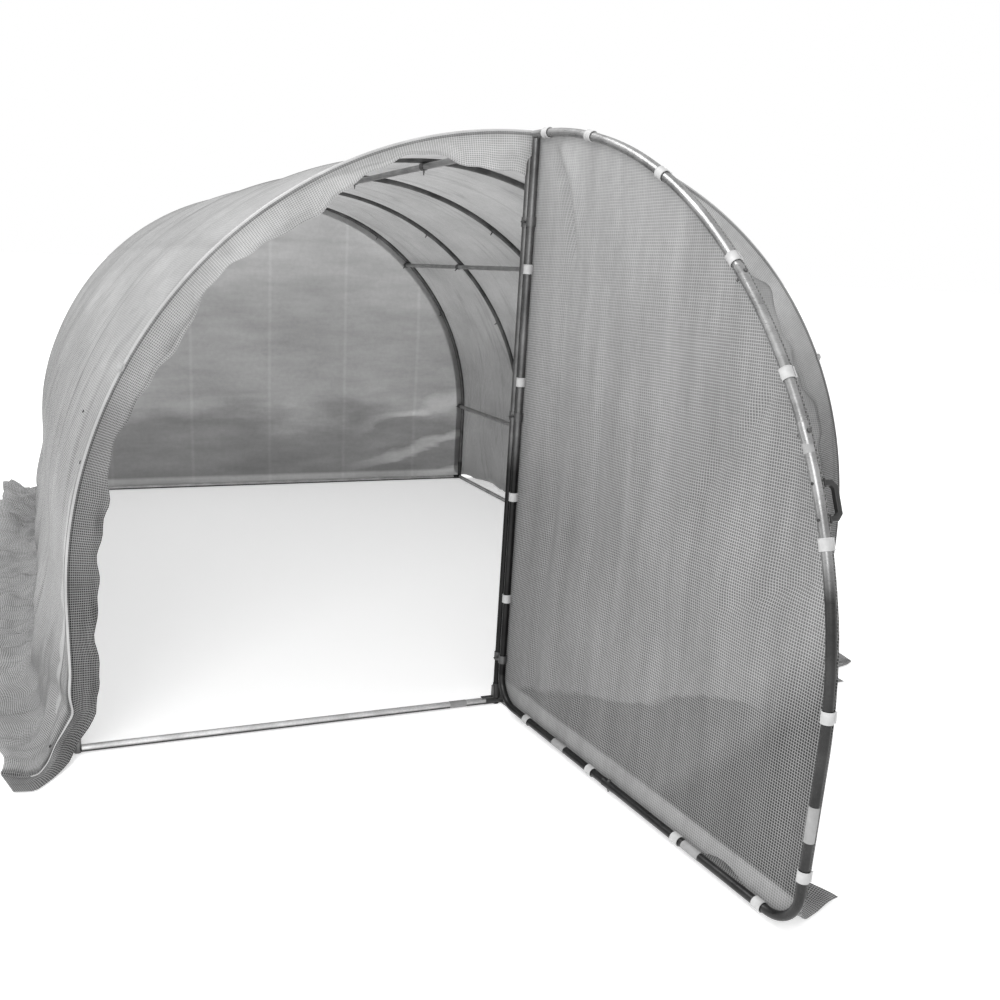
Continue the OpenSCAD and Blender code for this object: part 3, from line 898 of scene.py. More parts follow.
def back_shape(x, t):
    """Upright above the ground; below zero the cut runs out on the ground behind."""
    inner = smooth(0.0, 0.35, wall_top(x, SKIN_R) - t) * smooth(SKIN_R, SKIN_R - 0.3, np.abs(x))
    inner = inner * smooth(0.0, 0.3, t)
    belly = 0.020 * inner * ripples(31, x, t, 2.6, 0.7)
    packing = sum(0.006 * bump_at(x, place, 0.012) for place in (-1.1, -0.55, 0.0, 0.55, 1.1))
    packing = packing + 0.003 * bump_at(t, 1.02, 0.010)
    low_down = smooth(0.75, 0.15, t)
    wrinkles = 0.016 * ripples(33, x * 0.35, t, 0.33, 0.08) * low_down
    wrinkles = wrinkles + 0.004 * ripples(34, x, t, 0.5, 0.12) * smooth(1.2, 0.4, t)
    pulled = sum(d * bump_at(t - z0 - slope * (x - 1.5) - 0.03 * np.sin(4 * x), 0.0, 0.028)
                 for z0, slope, d in ((0.62, 0.28, 0.022), (0.40, 0.22, 0.026), (0.22, 0.12, 0.018)))
    pulled = pulled * smooth(0.35, 1.15, x)
    y = BACK_PLANE + belly + inner * packing + inner * (np.abs(wrinkles) + pulled)
    run = np.clip(-t, 0, BACK_SKIRT)
    bend = 0.03
    turned = np.clip(run / bend, 0, 1) * math.pi / 2
    y = y + bend * 0.6 * (1 - np.cos(turned)) + np.clip(run - bend, 0, None)
    z = np.where(t > 0.03, t, 0.03 - 0.028 * smooth(0.03, -0.03, t))
    lying = smooth(0.02, 0.12, run)
    z = z + lying * 0.014 * np.abs(ripples(36, x, run, 0.3, 0.06))
    return x, y, np.maximum(z, 0.001)


back_wall = make_sheet("back_wall_sheet", 150, 110, back_cut, back_shape, wall_film)
flip(back_wall)

# %% [markdown]
# ## The fixed front panel
# The right half of the front is closed by a film panel between the centre post and the hoop.
# It lies behind the flap, wraps a little way round the post, and its foot runs forward on the
# ground. The foot stays almost flat, because the door leaf sweeps over it.

# %% Front panel
PANEL_R = OUT_R - 0.018
PANEL_SKIRT = 0.19
PANEL_START = 0.0165


def panel_cut(u, v):
    x = PANEL_START + (PANEL_R - PANEL_START) * np.sin(u * math.pi / 2)
    top = wall_top(x, PANEL_R)
    return x, -PANEL_SKIRT + v * (top + PANEL_SKIRT)


def panel_shape(x, t):
    """Flat behind the flap, wrapped round the post, with its foot forward on the ground."""
    inner = smooth(0.0, 0.3, wall_top(x, PANEL_R) - t) * smooth(PANEL_R, PANEL_R - 0.25, x)
    inner = inner * smooth(0.0, 0.2, t) * smooth(0.0, 0.15, x)
    wrinkles = ripples(41, x, t, 1.4, 0.3) * 0.012 + ripples(42, x * 0.5, t, 0.3, 0.08) * 0.003
    creases = sum(0.003 * bump_at(x, place, 0.009) for place in (0.46, 0.92))
    y = FRONT_Y - 0.0006 + inner * (0.012 + wrinkles + creases)
    wrap = smooth(PANEL_START + 0.02, PANEL_START, x)
    y = y + wrap * 0.014
    run = np.clip(-t, 0, PANEL_SKIRT)
    y = y - np.clip(run - 0.012, 0, None)
    z = np.where(t > 0.012, t, 0.012 - 0.0105 * smooth(0.012, -0.02, t))
    z = z + smooth(0.02, 0.1, run) * 0.0035 * np.abs(ripples(44, x, run, 0.3, 0.08))
    return x + run * 0.1 * smooth(0.2, 0.0, x), y, np.maximum(z, 0.001)


front_panel = make_sheet("front_panel_sheet", 70, 110, panel_cut, panel_shape, panel_film)

# %% [markdown]
# ## The door leaf: its frame of reference
# The leaf hangs on its own tube in front of the post and stands open. It is easiest to think
# of it flat: s runs from the hinge tube outwards, off stands away from its outer face, and z
# is height. One matrix carries that flat leaf to where it stands.

# %% Leaf frame
joint = frame["joints"][0]
HINGE = Vector(joint["pos_m"])
OPENED = math.radians(-joint["range_deg"][0])
leaf_way = Vector((-math.cos(OPENED), -math.sin(OPENED), 0))
leaf_out = Vector((math.sin(OPENED), -math.cos(OPENED), 0))
LEAF = Matrix.Translation(HINGE) @ Matrix((leaf_way, leaf_out, Vector((0, 0, 1)))).transposed().to_4x4()
LEAF_R = OUT_R - TUBE_R
BOTTOM_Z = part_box("door_bottom_tube")[0].z + TUBE_R
CORNER_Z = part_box("door_bottom_tube")[1].z
BEND_R = CORNER_Z - BOTTOM_Z


def on_leaf(s, off, z):
    """Flat leaf coordinates to where the open leaf stands."""
    return (HINGE.x + s * leaf_way.x + off * leaf_out.x,
            HINGE.y + s * leaf_way.y + off * leaf_out.y, z)


print("leaf opened by", round(math.degrees(OPENED), 1), "degrees")

# %% [markdown]
# ## The door film
# The leaf's film is clipped to the outer side of its tubes. Between clips its edge creeps in,
# and near the free corner it lifts off the bottom tube. Across the middle it is slack, with
# upright creases from the roll and a fold that hangs from the top corner.

# %% Door film
FILM_OFF = TUBE_R + 0.0012
EDGE_R = LEAF_R + 0.011


def bottom_edge(s):
    """Height of the film's lower edge: the tube's line, lifted between clips."""
    hinge_bend = BEND_R - np.sqrt(np.maximum(BEND_R ** 2 - np.clip(BEND_R - s, 0, BEND_R) ** 2, 0))
    past = np.clip(s - (LEAF_R - BEND_R), 0, BEND_R)
    free_bend = BEND_R - np.sqrt(np.maximum(BEND_R ** 2 - past ** 2, 0))
    lift = 0.036 * bump_at(s, 1.21, 0.085) + 0.010 * bump_at(s, 0.82, 0.10)
    lift = lift + 0.006 * bump_at(s, 0.4, 0.08)
    return BOTTOM_Z - 0.006 + hinge_bend + free_bend + lift


def door_cut(u, v):
    s = -0.004 + (EDGE_R + 0.004) * np.sin(u ** 0.92 * math.pi / 2)
    top = wall_top(s, EDGE_R)
    bottom = bottom_edge(s)
    return s, bottom + v * (top - bottom)


def door_shape(s, t):
    """Slack film behind the tubes: off is how far it stands out from the leaf's middle."""
    rim = np.minimum(wall_top(s, EDGE_R) - t, EDGE_R - s)
    edge = smooth(0.0, 0.22, rim) * smooth(0.0, 0.16, s) * smooth(0.0, 0.2, t - bottom_edge(s))
    turned = np.degrees(np.arctan2(s, np.maximum(t - LEG, 0.0)))
    pucker = 0.006 * np.abs(np.sin(np.radians(turned) * 9.2)) * smooth(0.10, 0.0, rim)
    slack = 0.012 * ripples(51, s, t, 1.7, 0.5) + 0.0032 * ripples(52, s, t * 0.3, 0.25, 0.07)
    rolls = sum(d * bump_at(s + 0.02 * np.sin(t * 3.0 + d * 900), place, w)
                for place, d, w in ((0.20, 0.0085, 0.024), (0.30, -0.0070, 0.030),
                                    (0.46, 0.0050, 0.018), (0.62, -0.0045, 0.026)))
    # a fold hanging from the top corner: it starts upright and curls towards the hinge
    droop = s - (0.10 + 0.55 * np.clip(1.93 - t, 0, 1) - 0.5 * np.clip(1.93 - t, 0, 1) ** 2)
    corner = 0.026 * bump_at(droop, 0.0, 0.022) * smooth(1.52, 1.70, t) * smooth(1.97, 1.88, t)
    corner = corner - 0.016 * bump_at(droop, 0.055, 0.028) * smooth(1.60, 1.72, t) * smooth(1.97, 1.9, t)
    from_clip = bump_at(t - 1.30 + (1.15 - s) * 1.3, 0.0, 0.030) * smooth(0.75, 1.1, s)
    from_clip = from_clip + bump_at(t - 0.86 + (1.30 - s) * 0.55, 0.0, 0.025) * smooth(0.8, 1.2, s)
    off = FILM_OFF + edge * (0.010 + slack + rolls + 0.007 * from_clip) + corner * smooth(0, 0.05, s)
    off = off - pucker * 0.4
    return on_leaf(s, off, t)


door_sheet = make_sheet("door_film_sheet", 150, 190, door_cut, door_shape, door_film)
flip(door_sheet)

# %% [markdown]
# ## The door's skirt
# The film's surplus below the leaf lies on the ground outside it and moves with it. At the
# free end it starts higher up the tube and flares out like the corner of a tablecloth. It
# hangs from a line that follows the bottom tube and climbs round the corner bend.

# %% Door skirt
SKIRT_WIDTH = 0.200
SKIRT_CLEAR = 0.0112                            # above the ground, so that it can swing
bottom_run = LEAF_R - 2 * BEND_R
corner_run = BEND_R * math.pi / 2
CLIMB = 0.045
HANG_LINE = bottom_run + corner_run + CLIMB


def hang_line(run):
    """s and z of the line the skirt hangs from, run metres along it from the hinge side."""
    turned = np.clip(run - bottom_run, 0, corner_run) / BEND_R
    s = BEND_R + np.clip(run, 0, bottom_run) + BEND_R * np.sin(turned)
    z = BOTTOM_Z + BEND_R * (1 - np.cos(turned)) + np.clip(run - bottom_run - corner_run, 0, CLIMB)
    return s, z


def skirt_cut(u, v):
    return u ** 0.85 * HANG_LINE, v * SKIRT_WIDTH


def skirt_shape(run, down):
    """down is how far a point lies from the tube: first down, then out along the ground."""
    s_in, z_in = hang_line(run)
    share = down / SKIRT_WIDTH
    flare = smooth(bottom_run - 0.1, HANG_LINE, run)
    s_out = np.interp(run, (0, HANG_LINE), (BEND_R, 1.400))
    reach = 0.170 + 0.054 * flare + 0.006 * np.sin(run * 9.0)
    # short beside the hinge, so that it clears the rail when the leaf is swung right back
    reach = reach * np.interp(run, (0.0, 0.22), (0.30, 1.0))
    s = s_in + (s_out - s_in) * share ** (1 - 0.4 * flare)
    off = TUBE_R + 0.001 + reach * share
    z = SKIRT_CLEAR + np.maximum(z_in - 0.004 - SKIRT_CLEAR, 0) * (1 - share) ** (2.4 + 6.0 * flare)
    z = z + 0.006 * np.abs(ripples(61, run, down, 0.3, 0.07)) * smooth(0.0, 0.5, share)
    return on_leaf(s, off, z)


door_skirt = make_sheet("door_skirt_sheet", 130, 30, skirt_cut, skirt_shape, skirt_film)

# %% [markdown]
# ## Hard pieces
# Clips, bolts, labels and fittings are small, but they are what tells a real frame from a
# drawing of one. Each is modelled once at the origin, from a primitive that is extruded,
# inset or bevelled, and then copied to its places; every copy has its own mesh, and the
# copies of one kind are joined to one piece.

# %% Helpers for hard pieces
SUNK = 0.0062                                   # how far bolts in the hoops are sunk


def cylinder(radius, depth, sides=32, z=0.0, caps=True):
    """A new cylinder along Z with its middle at height z."""
    let_go()
    bpy.ops.mesh.primitive_cylinder_add(vertices=sides, radius=radius, depth=depth, location=(0, 0, z),
                                        end_fill_type="NGON" if caps else "NOTHING")
    bpy.ops.object.transform_apply(location=True, rotation=False, scale=False)
    return bpy.context.object


def extrude(move):
    """Extrudes what is selected by move."""
    bpy.ops.mesh.extrude_region_move(TRANSFORM_OT_translate={"value": move})


def pick(piece, kind, test):
    """Enters edit mode with those verts, edges or faces selected whose centre passes test."""
    take(piece)
    bpy.ops.object.mode_set(mode="EDIT")
    bpy.ops.mesh.select_mode(type={"verts": "VERT", "edges": "EDGE", "faces": "FACE"}[kind])
    bpy.ops.mesh.select_all(action="DESELECT")
    bpy.ops.object.mode_set(mode="OBJECT")
    mesh = piece.data
    if kind == "verts":
        for vert in mesh.vertices:
            vert.select = bool(test(vert.co))
    elif kind == "edges":
        for edge in mesh.edges:
            ends = [mesh.vertices[i].co for i in edge.vertices]
            edge.select = bool(test(ends[0], ends[1]))
    else:
        for face in mesh.polygons:
            face.select = bool(test(face.center, face.normal))
    bpy.ops.object.mode_set(mode="EDIT")


def done():
    bpy.ops.object.mode_set(mode="OBJECT")


def bevelled(piece, width, segments=2, angle=35):
    """Rounds the piece's hard edges with a Bevel modifier and applies it."""
    take(piece)
    modifier = piece.modifiers.new("round_edges", "BEVEL")
    modifier.width = width
    modifier.segments = segments
    modifier.limit_method = "ANGLE"
    modifier.angle_limit = math.radians(angle)
    bpy.ops.object.modifier_apply(modifier=modifier.name)
    bpy.ops.object.shade_smooth_by_angle(angle=math.radians(40))


def thickened(piece, thickness):
    """Gives a thin shell its wall, inwards, and applies it."""
    take(piece)
    modifier = piece.modifiers.new("wall", "SOLIDIFY")
    modifier.thickness = thickness
    modifier.offset = -1
    modifier.use_even_offset = True
    bpy.ops.object.modifier_apply(modifier=modifier.name)


def outwards(piece):
    """Merges doubles and turns every face outwards."""
    pick(piece, "verts", lambda co: True)
    bpy.ops.mesh.remove_doubles(threshold=0.00002)
    bpy.ops.mesh.normals_make_consistent(inside=False)
    done()


def joined(pieces, name, finish):
    """One piece of several, with one finish."""
    let_go()
    for piece in pieces:
        piece.select_set(True)
    bpy.context.view_layer.objects.active = pieces[0]
    if len(pieces) > 1:
        bpy.ops.object.join()
    whole = bpy.context.object
    whole.name = name
    whole.data.name = name
    whole.data.materials.clear()
    whole.data.materials.append(finish)
    return whole


def copied(model, places, name, finish):
    """Copies of model at each matrix in places, joined to one piece; the model is removed."""
    copies = []
    for matrix in places:
        take(model)
        bpy.ops.object.duplicate(linked=False)
        one = bpy.context.object
        one.data.transform(matrix)
        if matrix.determinant() < 0:
            one.data.flip_normals()
        copies.append(one)
    bpy.data.objects.remove(model)
    whole = joined(copies, name, finish)
    print(name, "has", len(places), "copies and", len(whole.data.polygons), "faces")
    return whole


def seat(point, axis, depth=(0, 1, 0), base=Matrix.Identity(4)):
    """A matrix that puts a model's Z along axis and its Y along depth, at point, under base."""
    along = Vector(axis).normalized()
    deep = (Vector(depth) - along * Vector(depth).dot(along)).normalized()
    turned = Matrix((deep.cross(along), deep, along)).transposed().to_4x4()
    return base @ Matrix.Translation(Vector(point)) @ turned


def arch_place(angle_deg, radius):
    """Centre, tangent and outward direction of an arch at an angle from its top."""
    a = math.radians(angle_deg)
    outward = Vector((math.sin(a), 0, math.cos(a)))
    return Vector((0, 0, LEG)) + radius * outward, Vector((math.cos(a), 0, -math.sin(a))), outward


def along_arch(angle_deg):
    """A matrix that lays a model along the leaf's arch."""
    centre, tangent, _ = arch_place(angle_deg, LEAF_R)
    return seat(centre, tangent, base=LEAF)


def along_bottom(place):
    """A matrix that lays a model along the leaf's bottom tube, place metres from the hinge."""
    return seat((place, 0, BOTTOM_Z), (1, 0, 0), base=LEAF)


def through_hoop(y, angle_deg, radius):
    """A matrix that puts a bolt through the hoop at y, sunk so that its head clears the cover."""
    centre, _, radial = arch_place(angle_deg, radius)
    return seat(Vector((centre.x, y, centre.z)) - radial * SUNK, radial)


print("helpers for hard pieces are ready")

# %% [markdown]
# ## Door clips
# The film is held to the leaf by short sleeves of pale plastic that snap over the tube. Each
# is split along one side, with turned-up lips, and has a small rim at both ends. A cylinder
# without caps gives the sleeve: the split is deleted, the open edges are extruded to lips and
# rims, and Solidify and Bevel give it a moulded wall.

# %% Clip model
CLIP_R = TUBE_R + 0.0032
CLIP_L = 0.026
clip = cylinder(CLIP_R, CLIP_L, caps=False)
pick(clip, "faces", lambda c, n: math.atan2(c.x, c.y) > -0.5 and math.atan2(c.x, c.y) < 0.5)
bpy.ops.mesh.delete(type="FACE")
for way in (-1, 1):
    pick(clip, "edges", lambda a, b: abs(a.z - b.z) > 0.01 and way * a.x > 0
         and a.y > CLIP_R * 0.80 and abs(a.x) < CLIP_R * 0.62)
    extrude((way * 0.0026, 0.0044, 0))
for way in (-1, 1):
    pick(clip, "edges", lambda a, b: way * a.z > CLIP_L * 0.49 and way * b.z > CLIP_L * 0.49)
    extrude((0, 0, way * 0.0012))
    bpy.ops.transform.resize(value=(1.06, 1.06, 1), center_override=(0, 0, way * CLIP_L / 2))
done()
outwards(clip)
thickened(clip, 0.0024)
bevelled(clip, 0.0005, 2)
print("clip model:", len(clip.data.polygons), "faces")

# %% [markdown]
# ## Clips in their places
# Seven clips follow the arch, four hold the hinge tube, one the free leg and four the bottom
# tube. Each place is a matrix that seats the model's long axis along its tube.

# %% Clips on the leaf
CLIP_ANGLES = (2.5, 12.1, 26.8, 41.6, 54.8, 70.6, 86.0)
HINGE_SIDE_HEIGHTS = (0.425, 0.800, 1.200, 1.570)
FREE_LEG_HEIGHT = 0.190
BOTTOM_PLACES = (0.200, 0.600, 1.035, 1.365)
clip_places = [along_arch(angle) for angle in CLIP_ANGLES]
clip_places += [seat((0, 0, height), (0, 0, 1), base=LEAF) for height in HINGE_SIDE_HEIGHTS]
clip_places.append(seat((LEAF_R, 0, FREE_LEG_HEIGHT), (0, 0, 1), base=LEAF))
clip_places += [along_bottom(place) for place in BOTTOM_PLACES]
door_clips = copied(clip, clip_places, "door_clip_set", clip_plastic)

# %% [markdown]
# ## Bolts
# Tubes are joined by small bolts through both walls. One hexagon bolt serves them all: a
# six-sided head on a washer, a shank, and a nut with the shank's end showing. The head's rim
# is bevelled, as forged heads are.

# %% Bolt model


def hexagon(radius, height, z):
    """A six-sided block with its rims bevelled off."""
    block = cylinder(radius, height, 6, z)
    bevelled(block, radius * 0.10, 2)
    return block


def round_bar(radius, depth, z, sides=14):
    """A short round bar with rounded rims."""
    bar = cylinder(radius, depth, sides, z)
    bevelled(bar, min(radius, depth) * 0.18, 1)
    return bar


def bolt_model(grip, size=0.0058, tail=0.005):
    """A bolt along Z for parts grip metres thick, head up."""
    half = grip / 2
    return joined([hexagon(size, size * 0.75, half + 0.0012 + size * 0.375),
                   round_bar(size * 1.25, 0.0012, half + 0.0006),
                   round_bar(size * 0.52, grip + 0.014 + tail, -0.002 - tail / 2),
                   hexagon(size * 0.97, size * 0.85, -half - size * 0.425)], "bolt", fitting_metal)


# %% [markdown]
# ## Bolts in their places
# The hoops are bolted at four joints each, across the tube from outside to inside. The leaf
# has two bolted joints in its arch and one in its bottom tube.

# %% Bolts in the hoops and the leaf
JOINT_ANGLES = (-60.0, -31.3, 31.3, 60.0)
hoop_places = [through_hoop(y, angle, LEAF_R) for y in HOOP_YS for angle in JOINT_ANGLES]
hoop_bolts = copied(bolt_model(2 * TUBE_R - 0.002, 0.0048, 0.004), hoop_places, "hoop_bolts",
                    fitting_metal)

LEAF_JOINT_ANGLES = (43.6, 60.5)
BOTTOM_JOINT = 0.70                             # from the hinge along the bottom tube
leaf_bolt_places = []
for angle in LEAF_JOINT_ANGLES:
    centre, _, radial = arch_place(angle, LEAF_R)
    leaf_bolt_places.append(seat(centre, radial, base=LEAF))
leaf_bolt_places.append(seat((BOTTOM_JOINT, 0, BOTTOM_Z), (0, 0, 1), base=LEAF))
leaf_bolts = copied(bolt_model(2 * TUBE_R, 0.0052, 0.002), leaf_bolt_places, "leaf_bolts", fitting_metal)

# %% [markdown]
# ## Tube joints
# Each arch is put together from shorter tubes. At a joint the end of one is pressed narrower
# and slides into the next, so a thin collar shows where the outer tube ends. A cylinder has
# its ends inset and bevelled for that collar.

# %% Collars


def collar_model(radius, length, taper):
    """An open collar along Z, belled at one end and drawn in at the other."""
    collar = cylinder(radius, length, 28, caps=False)
    pick(collar, "edges", lambda a, b: a.z > length * 0.49 and b.z > length * 0.49)
    extrude((0, 0, taper))
    bpy.ops.transform.resize(value=(0.95, 0.95, 1), center_override=(0, 0, length / 2 + taper))
    pick(collar, "edges", lambda a, b: a.z < -length * 0.49 and b.z < -length * 0.49)
    extrude((0, 0, -0.0015))
    bpy.ops.transform.resize(value=(1.035, 1.035, 1), center_override=(0, 0, -length / 2))
    done()
    outwards(collar)
    thickened(collar, 0.0010)
    bevelled(collar, 0.0002, 1)
    return collar


collar_places = []
for y in HOOP_YS:
    for angle in JOINT_ANGLES:
        centre, tangent, _ = arch_place(angle, LEAF_R)
        way = 1 if angle > 0 else -1
        collar_places.append(seat((centre.x, y, centre.z), way * tangent))
hoop_collars = copied(collar_model(TUBE_R + 0.0009, 0.040, 0.010), collar_places, "hoop_collars",
                      hoop_metal)
leaf_collar_places = [along_arch(angle) for angle in LEAF_JOINT_ANGLES]
leaf_collar_places.append(along_bottom(BOTTOM_JOINT))
leaf_collars = copied(collar_model(TUBE_R + 0.0009, 0.046, 0.010), leaf_collar_places,
                      "leaf_collars", leaf_metal)

# %% [markdown]
# ## Bolts of the purlin clamps
# Where a long tube crosses a hoop, a saddle holds it and one bolt goes through hoop and
# saddle. Its head sits outside, pressed into the film, and its nut hangs inside.

# %% Clamp bolts


def purlin_polar(name):
    """Radius and angle from the top at which a long tube lies in the arch."""
    low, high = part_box(name)
    across, up = (low.x + high.x) / 2, (low.z + high.z) / 2 - LEG
    return math.hypot(across, up), math.degrees(math.atan2(across, up))


purlin_radius = purlin_polar("ridge_purlin")[0]
lower_angle = purlin_polar("lower_right_purlin")[1]
upper_angle = purlin_polar("upper_right_purlin")[1]
clamp_radius = (purlin_radius + LEAF_R) / 2
clamp_places = []
for y in HOOP_YS:
    for angle in (-lower_angle, -upper_angle, 0.0, upper_angle, lower_angle):
        # the front hoop has no clamp at the ridge, where the post's head is
        if y != HOOP_YS[0] or angle != 0.0:
            clamp_places.append(through_hoop(y, angle, clamp_radius))
clamp_bolts = copied(bolt_model(4 * TUBE_R - 0.002, 0.0046, 0.006), clamp_places, "clamp_bolts",
                     fitting_metal)
print("purlins at", round(lower_angle, 1), "and", round(upper_angle, 1), "degrees")

# %% [markdown]
# ## Hinge bolts
# Three steel bands wrap the post and the leaf's tube. Each is pinched between the two tubes
# by a bolt across.

# %% Hinge bolts
hinge_places = []
bands = sorted({round(v.co.z, 3) for v in nodes["hinge_bands"].data.vertices})
band_tops = [z for z, after in zip(bands, bands[1:] + [9.0]) if after - z > 0.1]
band_half = (band_tops[0] - bands[0]) / 2
for top in band_tops:
    hinge_places.append(seat((0, HINGE.y / 2, top - band_half), (1, 0, 0)))
hinge_bolts = copied(bolt_model(2 * TUBE_R + 0.007, 0.0055, 0.003), hinge_places, "hinge_bolts",
                     fitting_metal)

# %% [markdown]
# ## Foot and corner fittings
# The post stands in a black moulded tee that also grips the front rail, and the back hoop's
# feet stand in moulded corners. A tee is two crossing sleeves, each a cylinder whose end
# faces are inset and sunk, so that the wall of the moulding shows round the tube.

# %% Moulded fittings


def sleeve(radius, length, centre, axis):
    """A moulded sleeve whose ends are inset and sunk a little."""
    body = cylinder(radius, length)
    pick(body, "faces", lambda c, n: abs(n.z) > 0.9)
    bpy.ops.mesh.inset(thickness=radius - TUBE_R * 0.985, use_individual=True)
    bpy.ops.transform.resize(value=(1, 1, (length - 0.003) / length), center_override=(0, 0, 0))
    done()
    bevelled(body, 0.0007, 2)
    body.data.transform(seat(centre, axis, (0, 1, 0) if abs(axis[1]) < 0.5 else (1, 0, 0)))
    return body


FIT_R = TUBE_R + 0.0016
post_tee = joined([sleeve(FIT_R, 0.055, (0, 0, 0.0525), (0, 0, 1)),
                   sleeve(TUBE_R + 0.0012, 0.085, (-0.002, 0, TUBE_R + 0.0006), (1, 0, 0))],
                  "post_foot_tee", black_plastic)
corners = []
for side in (-1, 1):
    corners.append(sleeve(FIT_R, 0.105, (side * LEAF_R, HOOP_YS[-1], 0.075), (0, 0, 1)))
    corners.append(sleeve(TUBE_R + 0.0012, 0.045, (side * (LEAF_R - 0.030), HOOP_YS[-1],
                                                  TUBE_R + 0.0006), (1, 0, 0)))
back_corners = joined(corners, "back_corner_fittings", black_plastic)
print("tee and corners:", len(post_tee.data.polygons), len(back_corners.data.polygons), "faces")

# %% [markdown]
# ## Blank labels
# Tubes carry pale paper labels for assembly; they are left blank. A label is a strip bent
# round part of a tube: a cylinder without caps, with the faces on the far side deleted and a
# paper's thickness added.

# %% Labels


def label_model(length, open_deg=70):
    """A label round a tube along Z, open towards +Y."""
    label = cylinder(TUBE_R + 0.0006, length, 48, caps=False)
    limit = math.radians(open_deg)
    pick(label, "faces", lambda c, n: abs(math.atan2(c.x, c.y)) < limit)
    bpy.ops.mesh.delete(type="FACE")
    pick(label, "faces", lambda c, n: True)
    bpy.ops.mesh.subdivide(number_cuts=2)
    done()
    thickened(label, 0.0004)
    bpy.ops.object.shade_smooth_by_angle(angle=math.radians(40))
    return label


labels = copied(label_model(0.050), [along_arch(61.5)], "arch_label", label_paper)
leg_label = copied(label_model(0.095, 60), [seat((LEAF_R, 0, 0.330), (0, 0, 1), base=LEAF)],
                   "leg_label", label_paper)
low_labels = copied(label_model(0.070), [along_bottom(0.415), along_bottom(1.100)], "bottom_labels",
                    label_paper)
rail_label = copied(label_model(0.065), [seat((-0.155, 0, TUBE_R), (1, 0, 0))], "rail_label",
                    label_paper)

# %% [markdown]
# ## The door handle
# A black bow with cut corners stands out from the leaf's free edge, screwed through the tube.
# It starts as a plate: two corners are bevelled off, the plate is inset to a frame, the
# middle and the side towards the tube are deleted, and what is left is extruded to a bar and
# rounded. Two flat feet and two screws hold it.

# %% Handle
HANDLE_ANGLE = 66.8
HANDLE_L = 0.098
HANDLE_OUT = 0.046
BAR = 0.0135
let_go()
bpy.ops.mesh.primitive_plane_add(size=1)
bow = bpy.context.object
bow.data.transform(Matrix.Translation((0, HANDLE_OUT / 2, 0)) @ Matrix.Diagonal((HANDLE_L, HANDLE_OUT, 1, 1)))
pick(bow, "verts", lambda co: co.y > HANDLE_OUT * 0.9)
bpy.ops.mesh.bevel(offset=0.016, affect="VERTICES", segments=1)
pick(bow, "faces", lambda c, n: True)
bpy.ops.mesh.inset(thickness=BAR)
bpy.ops.mesh.delete(type="FACE")
pick(bow, "faces", lambda c, n: c.y < BAR * 0.7 and abs(c.x) < HANDLE_L * 0.3)
bpy.ops.mesh.delete(type="FACE")
pick(bow, "faces", lambda c, n: True)
extrude((0, 0, BAR))
done()
bow.data.transform(Matrix.Translation((0, 0, -BAR / 2)))
outwards(bow)
bevelled(bow, 0.0026, 3)
parts = [bow]
for way in (-1, 1):
    let_go()
    bpy.ops.mesh.primitive_cube_add(size=1)
    foot = bpy.context.object
    foot.data.transform(Matrix.Translation((way * (HANDLE_L - BAR) / 2, 0.0025, 0))
                        @ Matrix.Diagonal((0.022, 0.005, 0.021, 1)))
    pick(foot, "faces", lambda c, n: n.y > 0.9)
    bpy.ops.mesh.inset(thickness=0.003)
    extrude((0, 0.002, 0))
    done()
    bevelled(foot, 0.0012, 2)
    parts.append(foot)
bow = joined(parts, "handle_bow", black_plastic)
centre, tangent, _ = arch_place(HANDLE_ANGLE, LEAF_R)
# the bow's length lies along the tube and it stands out from the leaf's outer face
handle_seat = LEAF @ Matrix.Translation(centre + Vector((0, TUBE_R + 0.0015, 0))) @ Matrix(
    (tangent, Vector((0, 1, 0)), tangent.cross(Vector((0, 1, 0))))).transposed().to_4x4()
door_handle = copied(bow, [handle_seat], "handle_bow", black_plastic)
screw_places = []
for way in (-1, 1):
    spot = centre + tangent * way * (HANDLE_L - BAR) / 2
    screw_places.append(seat(spot, (0, 1, 0), tangent, base=LEAF))
handle_screws = copied(bolt_model(2 * TUBE_R - 0.004, 0.0042, -0.005), screw_places, "handle_screws",
                       black_plastic)

# %% [markdown]
# ## Ties under the flap
# A wide nut on a round washer is pressed up under the film on each side of the front hoop,
# where the hoop's joint is; the film shows their outline.

# %% Pressed nuts
tie_places = []
for angle in (-60.5, 58.0):
    centre, tangent, radial = arch_place(angle, OUT_R - 0.001)
    tie_places.append(seat((centre.x, -0.0085, centre.z), radial * 0.55 + Vector((0, -0.83, 0)),
                           tangent))
nut = joined([hexagon(0.0145, 0.006, 0.003), round_bar(0.0080, 0.0085, 0.0048, 18)], "nut", pale_film)
nut_marks = copied(nut, tie_places, "pressed_nuts", pale_film)

# %% [markdown]
# ## Snaps
# Three dark snaps are pressed into the film near the left leg. The snap is a disc whose face
# is inset and sunk, and each is seated on the cover's own surface.

# %% Snaps


def on_cover(girth, length):
    """Where one point of the cover's cut lies."""
    return Vector([float(c[0]) for c in cover_shape(np.array([girth]), np.array([length]))])


snap = cylinder(0.0055, 0.003, 20)
pick(snap, "faces", lambda c, n: n.z > 0.9)
bpy.ops.mesh.inset(thickness=0.0018)
extrude((0, 0, -0.0012))
done()
bevelled(snap, 0.0004, 2)
SNAPS = ((QUARTER - 0.45, 0.060), (QUARTER - 0.56, 0.420), (QUARTER + 0.50, 0.030))
snap_places = []
for girth, back in SNAPS:
    here = on_cover(-girth, TUBE_FRONT + back)
    up_the_wall = on_cover(-girth + 0.02, TUBE_FRONT + back) - here
    along_wall = on_cover(-girth, TUBE_FRONT + back + 0.02) - here
    facing = along_wall.cross(up_the_wall).normalized()
    if facing.x > 0:
        facing = -facing
    snap_places.append(seat(here + facing * 0.0012, facing, up_the_wall))
snaps = copied(snap, snap_places, "cover_snaps", black_plastic)

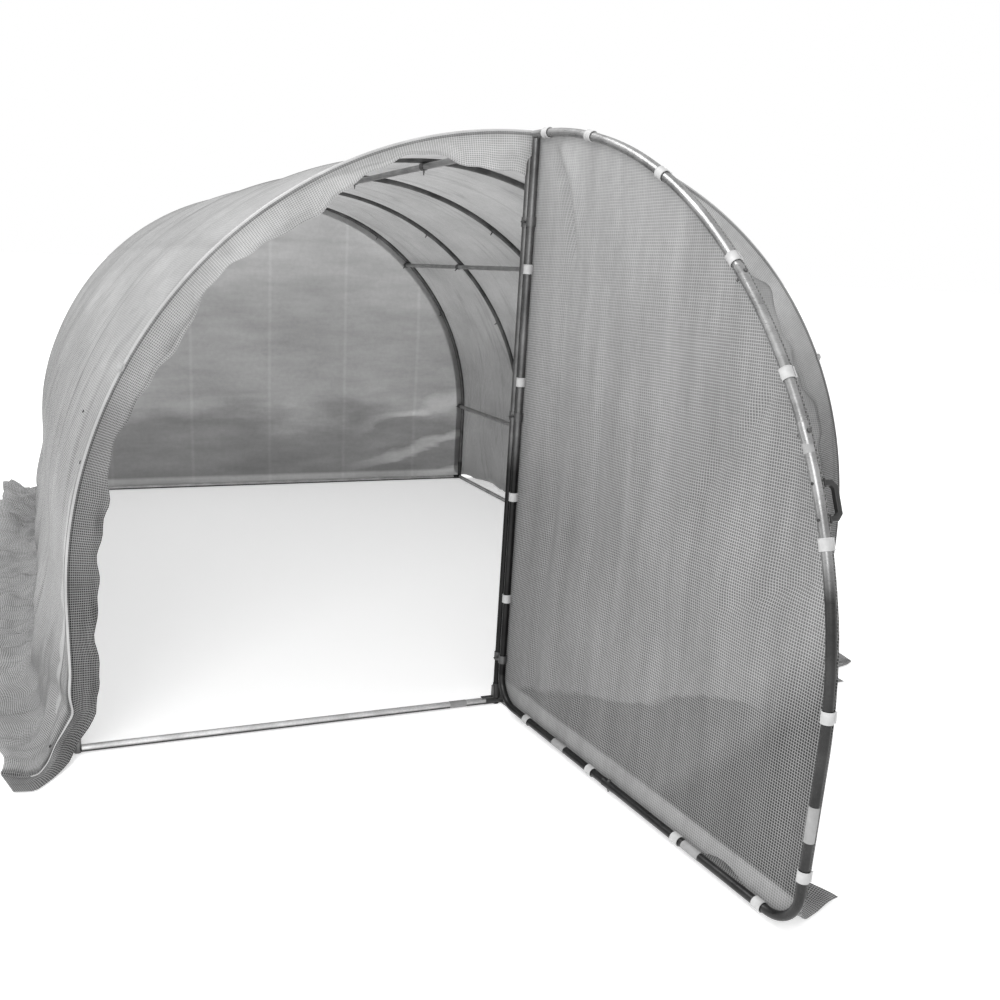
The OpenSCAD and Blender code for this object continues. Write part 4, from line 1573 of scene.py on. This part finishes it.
# %% [markdown]
# ## A loose thread
# At the flap's lowest corner one thread has come out of the weave. It is a thin tube drawn
# out from a small circle, step by step, by extrusion.

# %% Loose thread
tip = on_cover(-(COVER_HALF - 0.004), 0.012)
let_go()
bpy.ops.mesh.primitive_circle_add(vertices=6, radius=0.0007, location=tip, rotation=(0, math.pi / 2, 0),
                                  fill_type="NGON")
thread = bpy.context.object
bpy.ops.object.transform_apply(location=True, rotation=True, scale=False)
take(thread)
bpy.ops.object.mode_set(mode="EDIT")
bpy.ops.mesh.select_mode(type="FACE")
bpy.ops.mesh.select_all(action="SELECT")
for step in range(9):
    extrude((-0.0035, -0.0028 * math.cos(step * 0.5), 0.0012 * math.sin(step * 0.8 + 0.6)))
done()
outwards(thread)
bpy.ops.object.shade_smooth()
loose_thread = joined([thread], "loose_thread", pale_film)
print("loose thread:", len(loose_thread.data.polygons), "faces")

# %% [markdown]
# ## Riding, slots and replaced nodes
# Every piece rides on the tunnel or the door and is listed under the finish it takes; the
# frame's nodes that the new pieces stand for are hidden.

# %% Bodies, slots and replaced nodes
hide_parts("left_wall_film", "left_haunch_film", "left_roof_film", "left_crown_film",
            "right_crown_film", "right_roof_film", "right_haunch_film", "right_wall_film",
            "left_skirt", "right_skirt", "left_front_flap", "right_front_flap", "front_left_skirt")
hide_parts("back_wall_film", "back_skirt")
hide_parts("front_panel_film", "front_right_skirt")
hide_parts("door_film")
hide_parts("door_skirt")
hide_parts("door_clips")
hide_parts("door_handle")
on_tunnel = {"cover_film": (cover, back_wall, front_panel, hoop_highlight_strip, wall_strip, nut_marks,
                            loose_thread),
             "zinc_fitting": (hoop_bolts, clamp_bolts, hinge_bolts),
             "galvanised_tube": (hoop_collars,),
             "white_clip": (rail_label,),
             "black_handle": (post_tee, back_corners, snaps)}
on_door = {"door_film": (door_sheet, door_skirt),
           "zinc_fitting": (leaf_bolts,),
           "galvanised_tube": (leaf_collars,),
           "white_clip": (door_clips, labels, leg_label, low_labels),
           "black_handle": (door_handle, handle_screws)}
for body, families in (("tunnel", on_tunnel), ("door", on_door)):
    for slot, family in families.items():
        for piece in family:
            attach(piece, body)
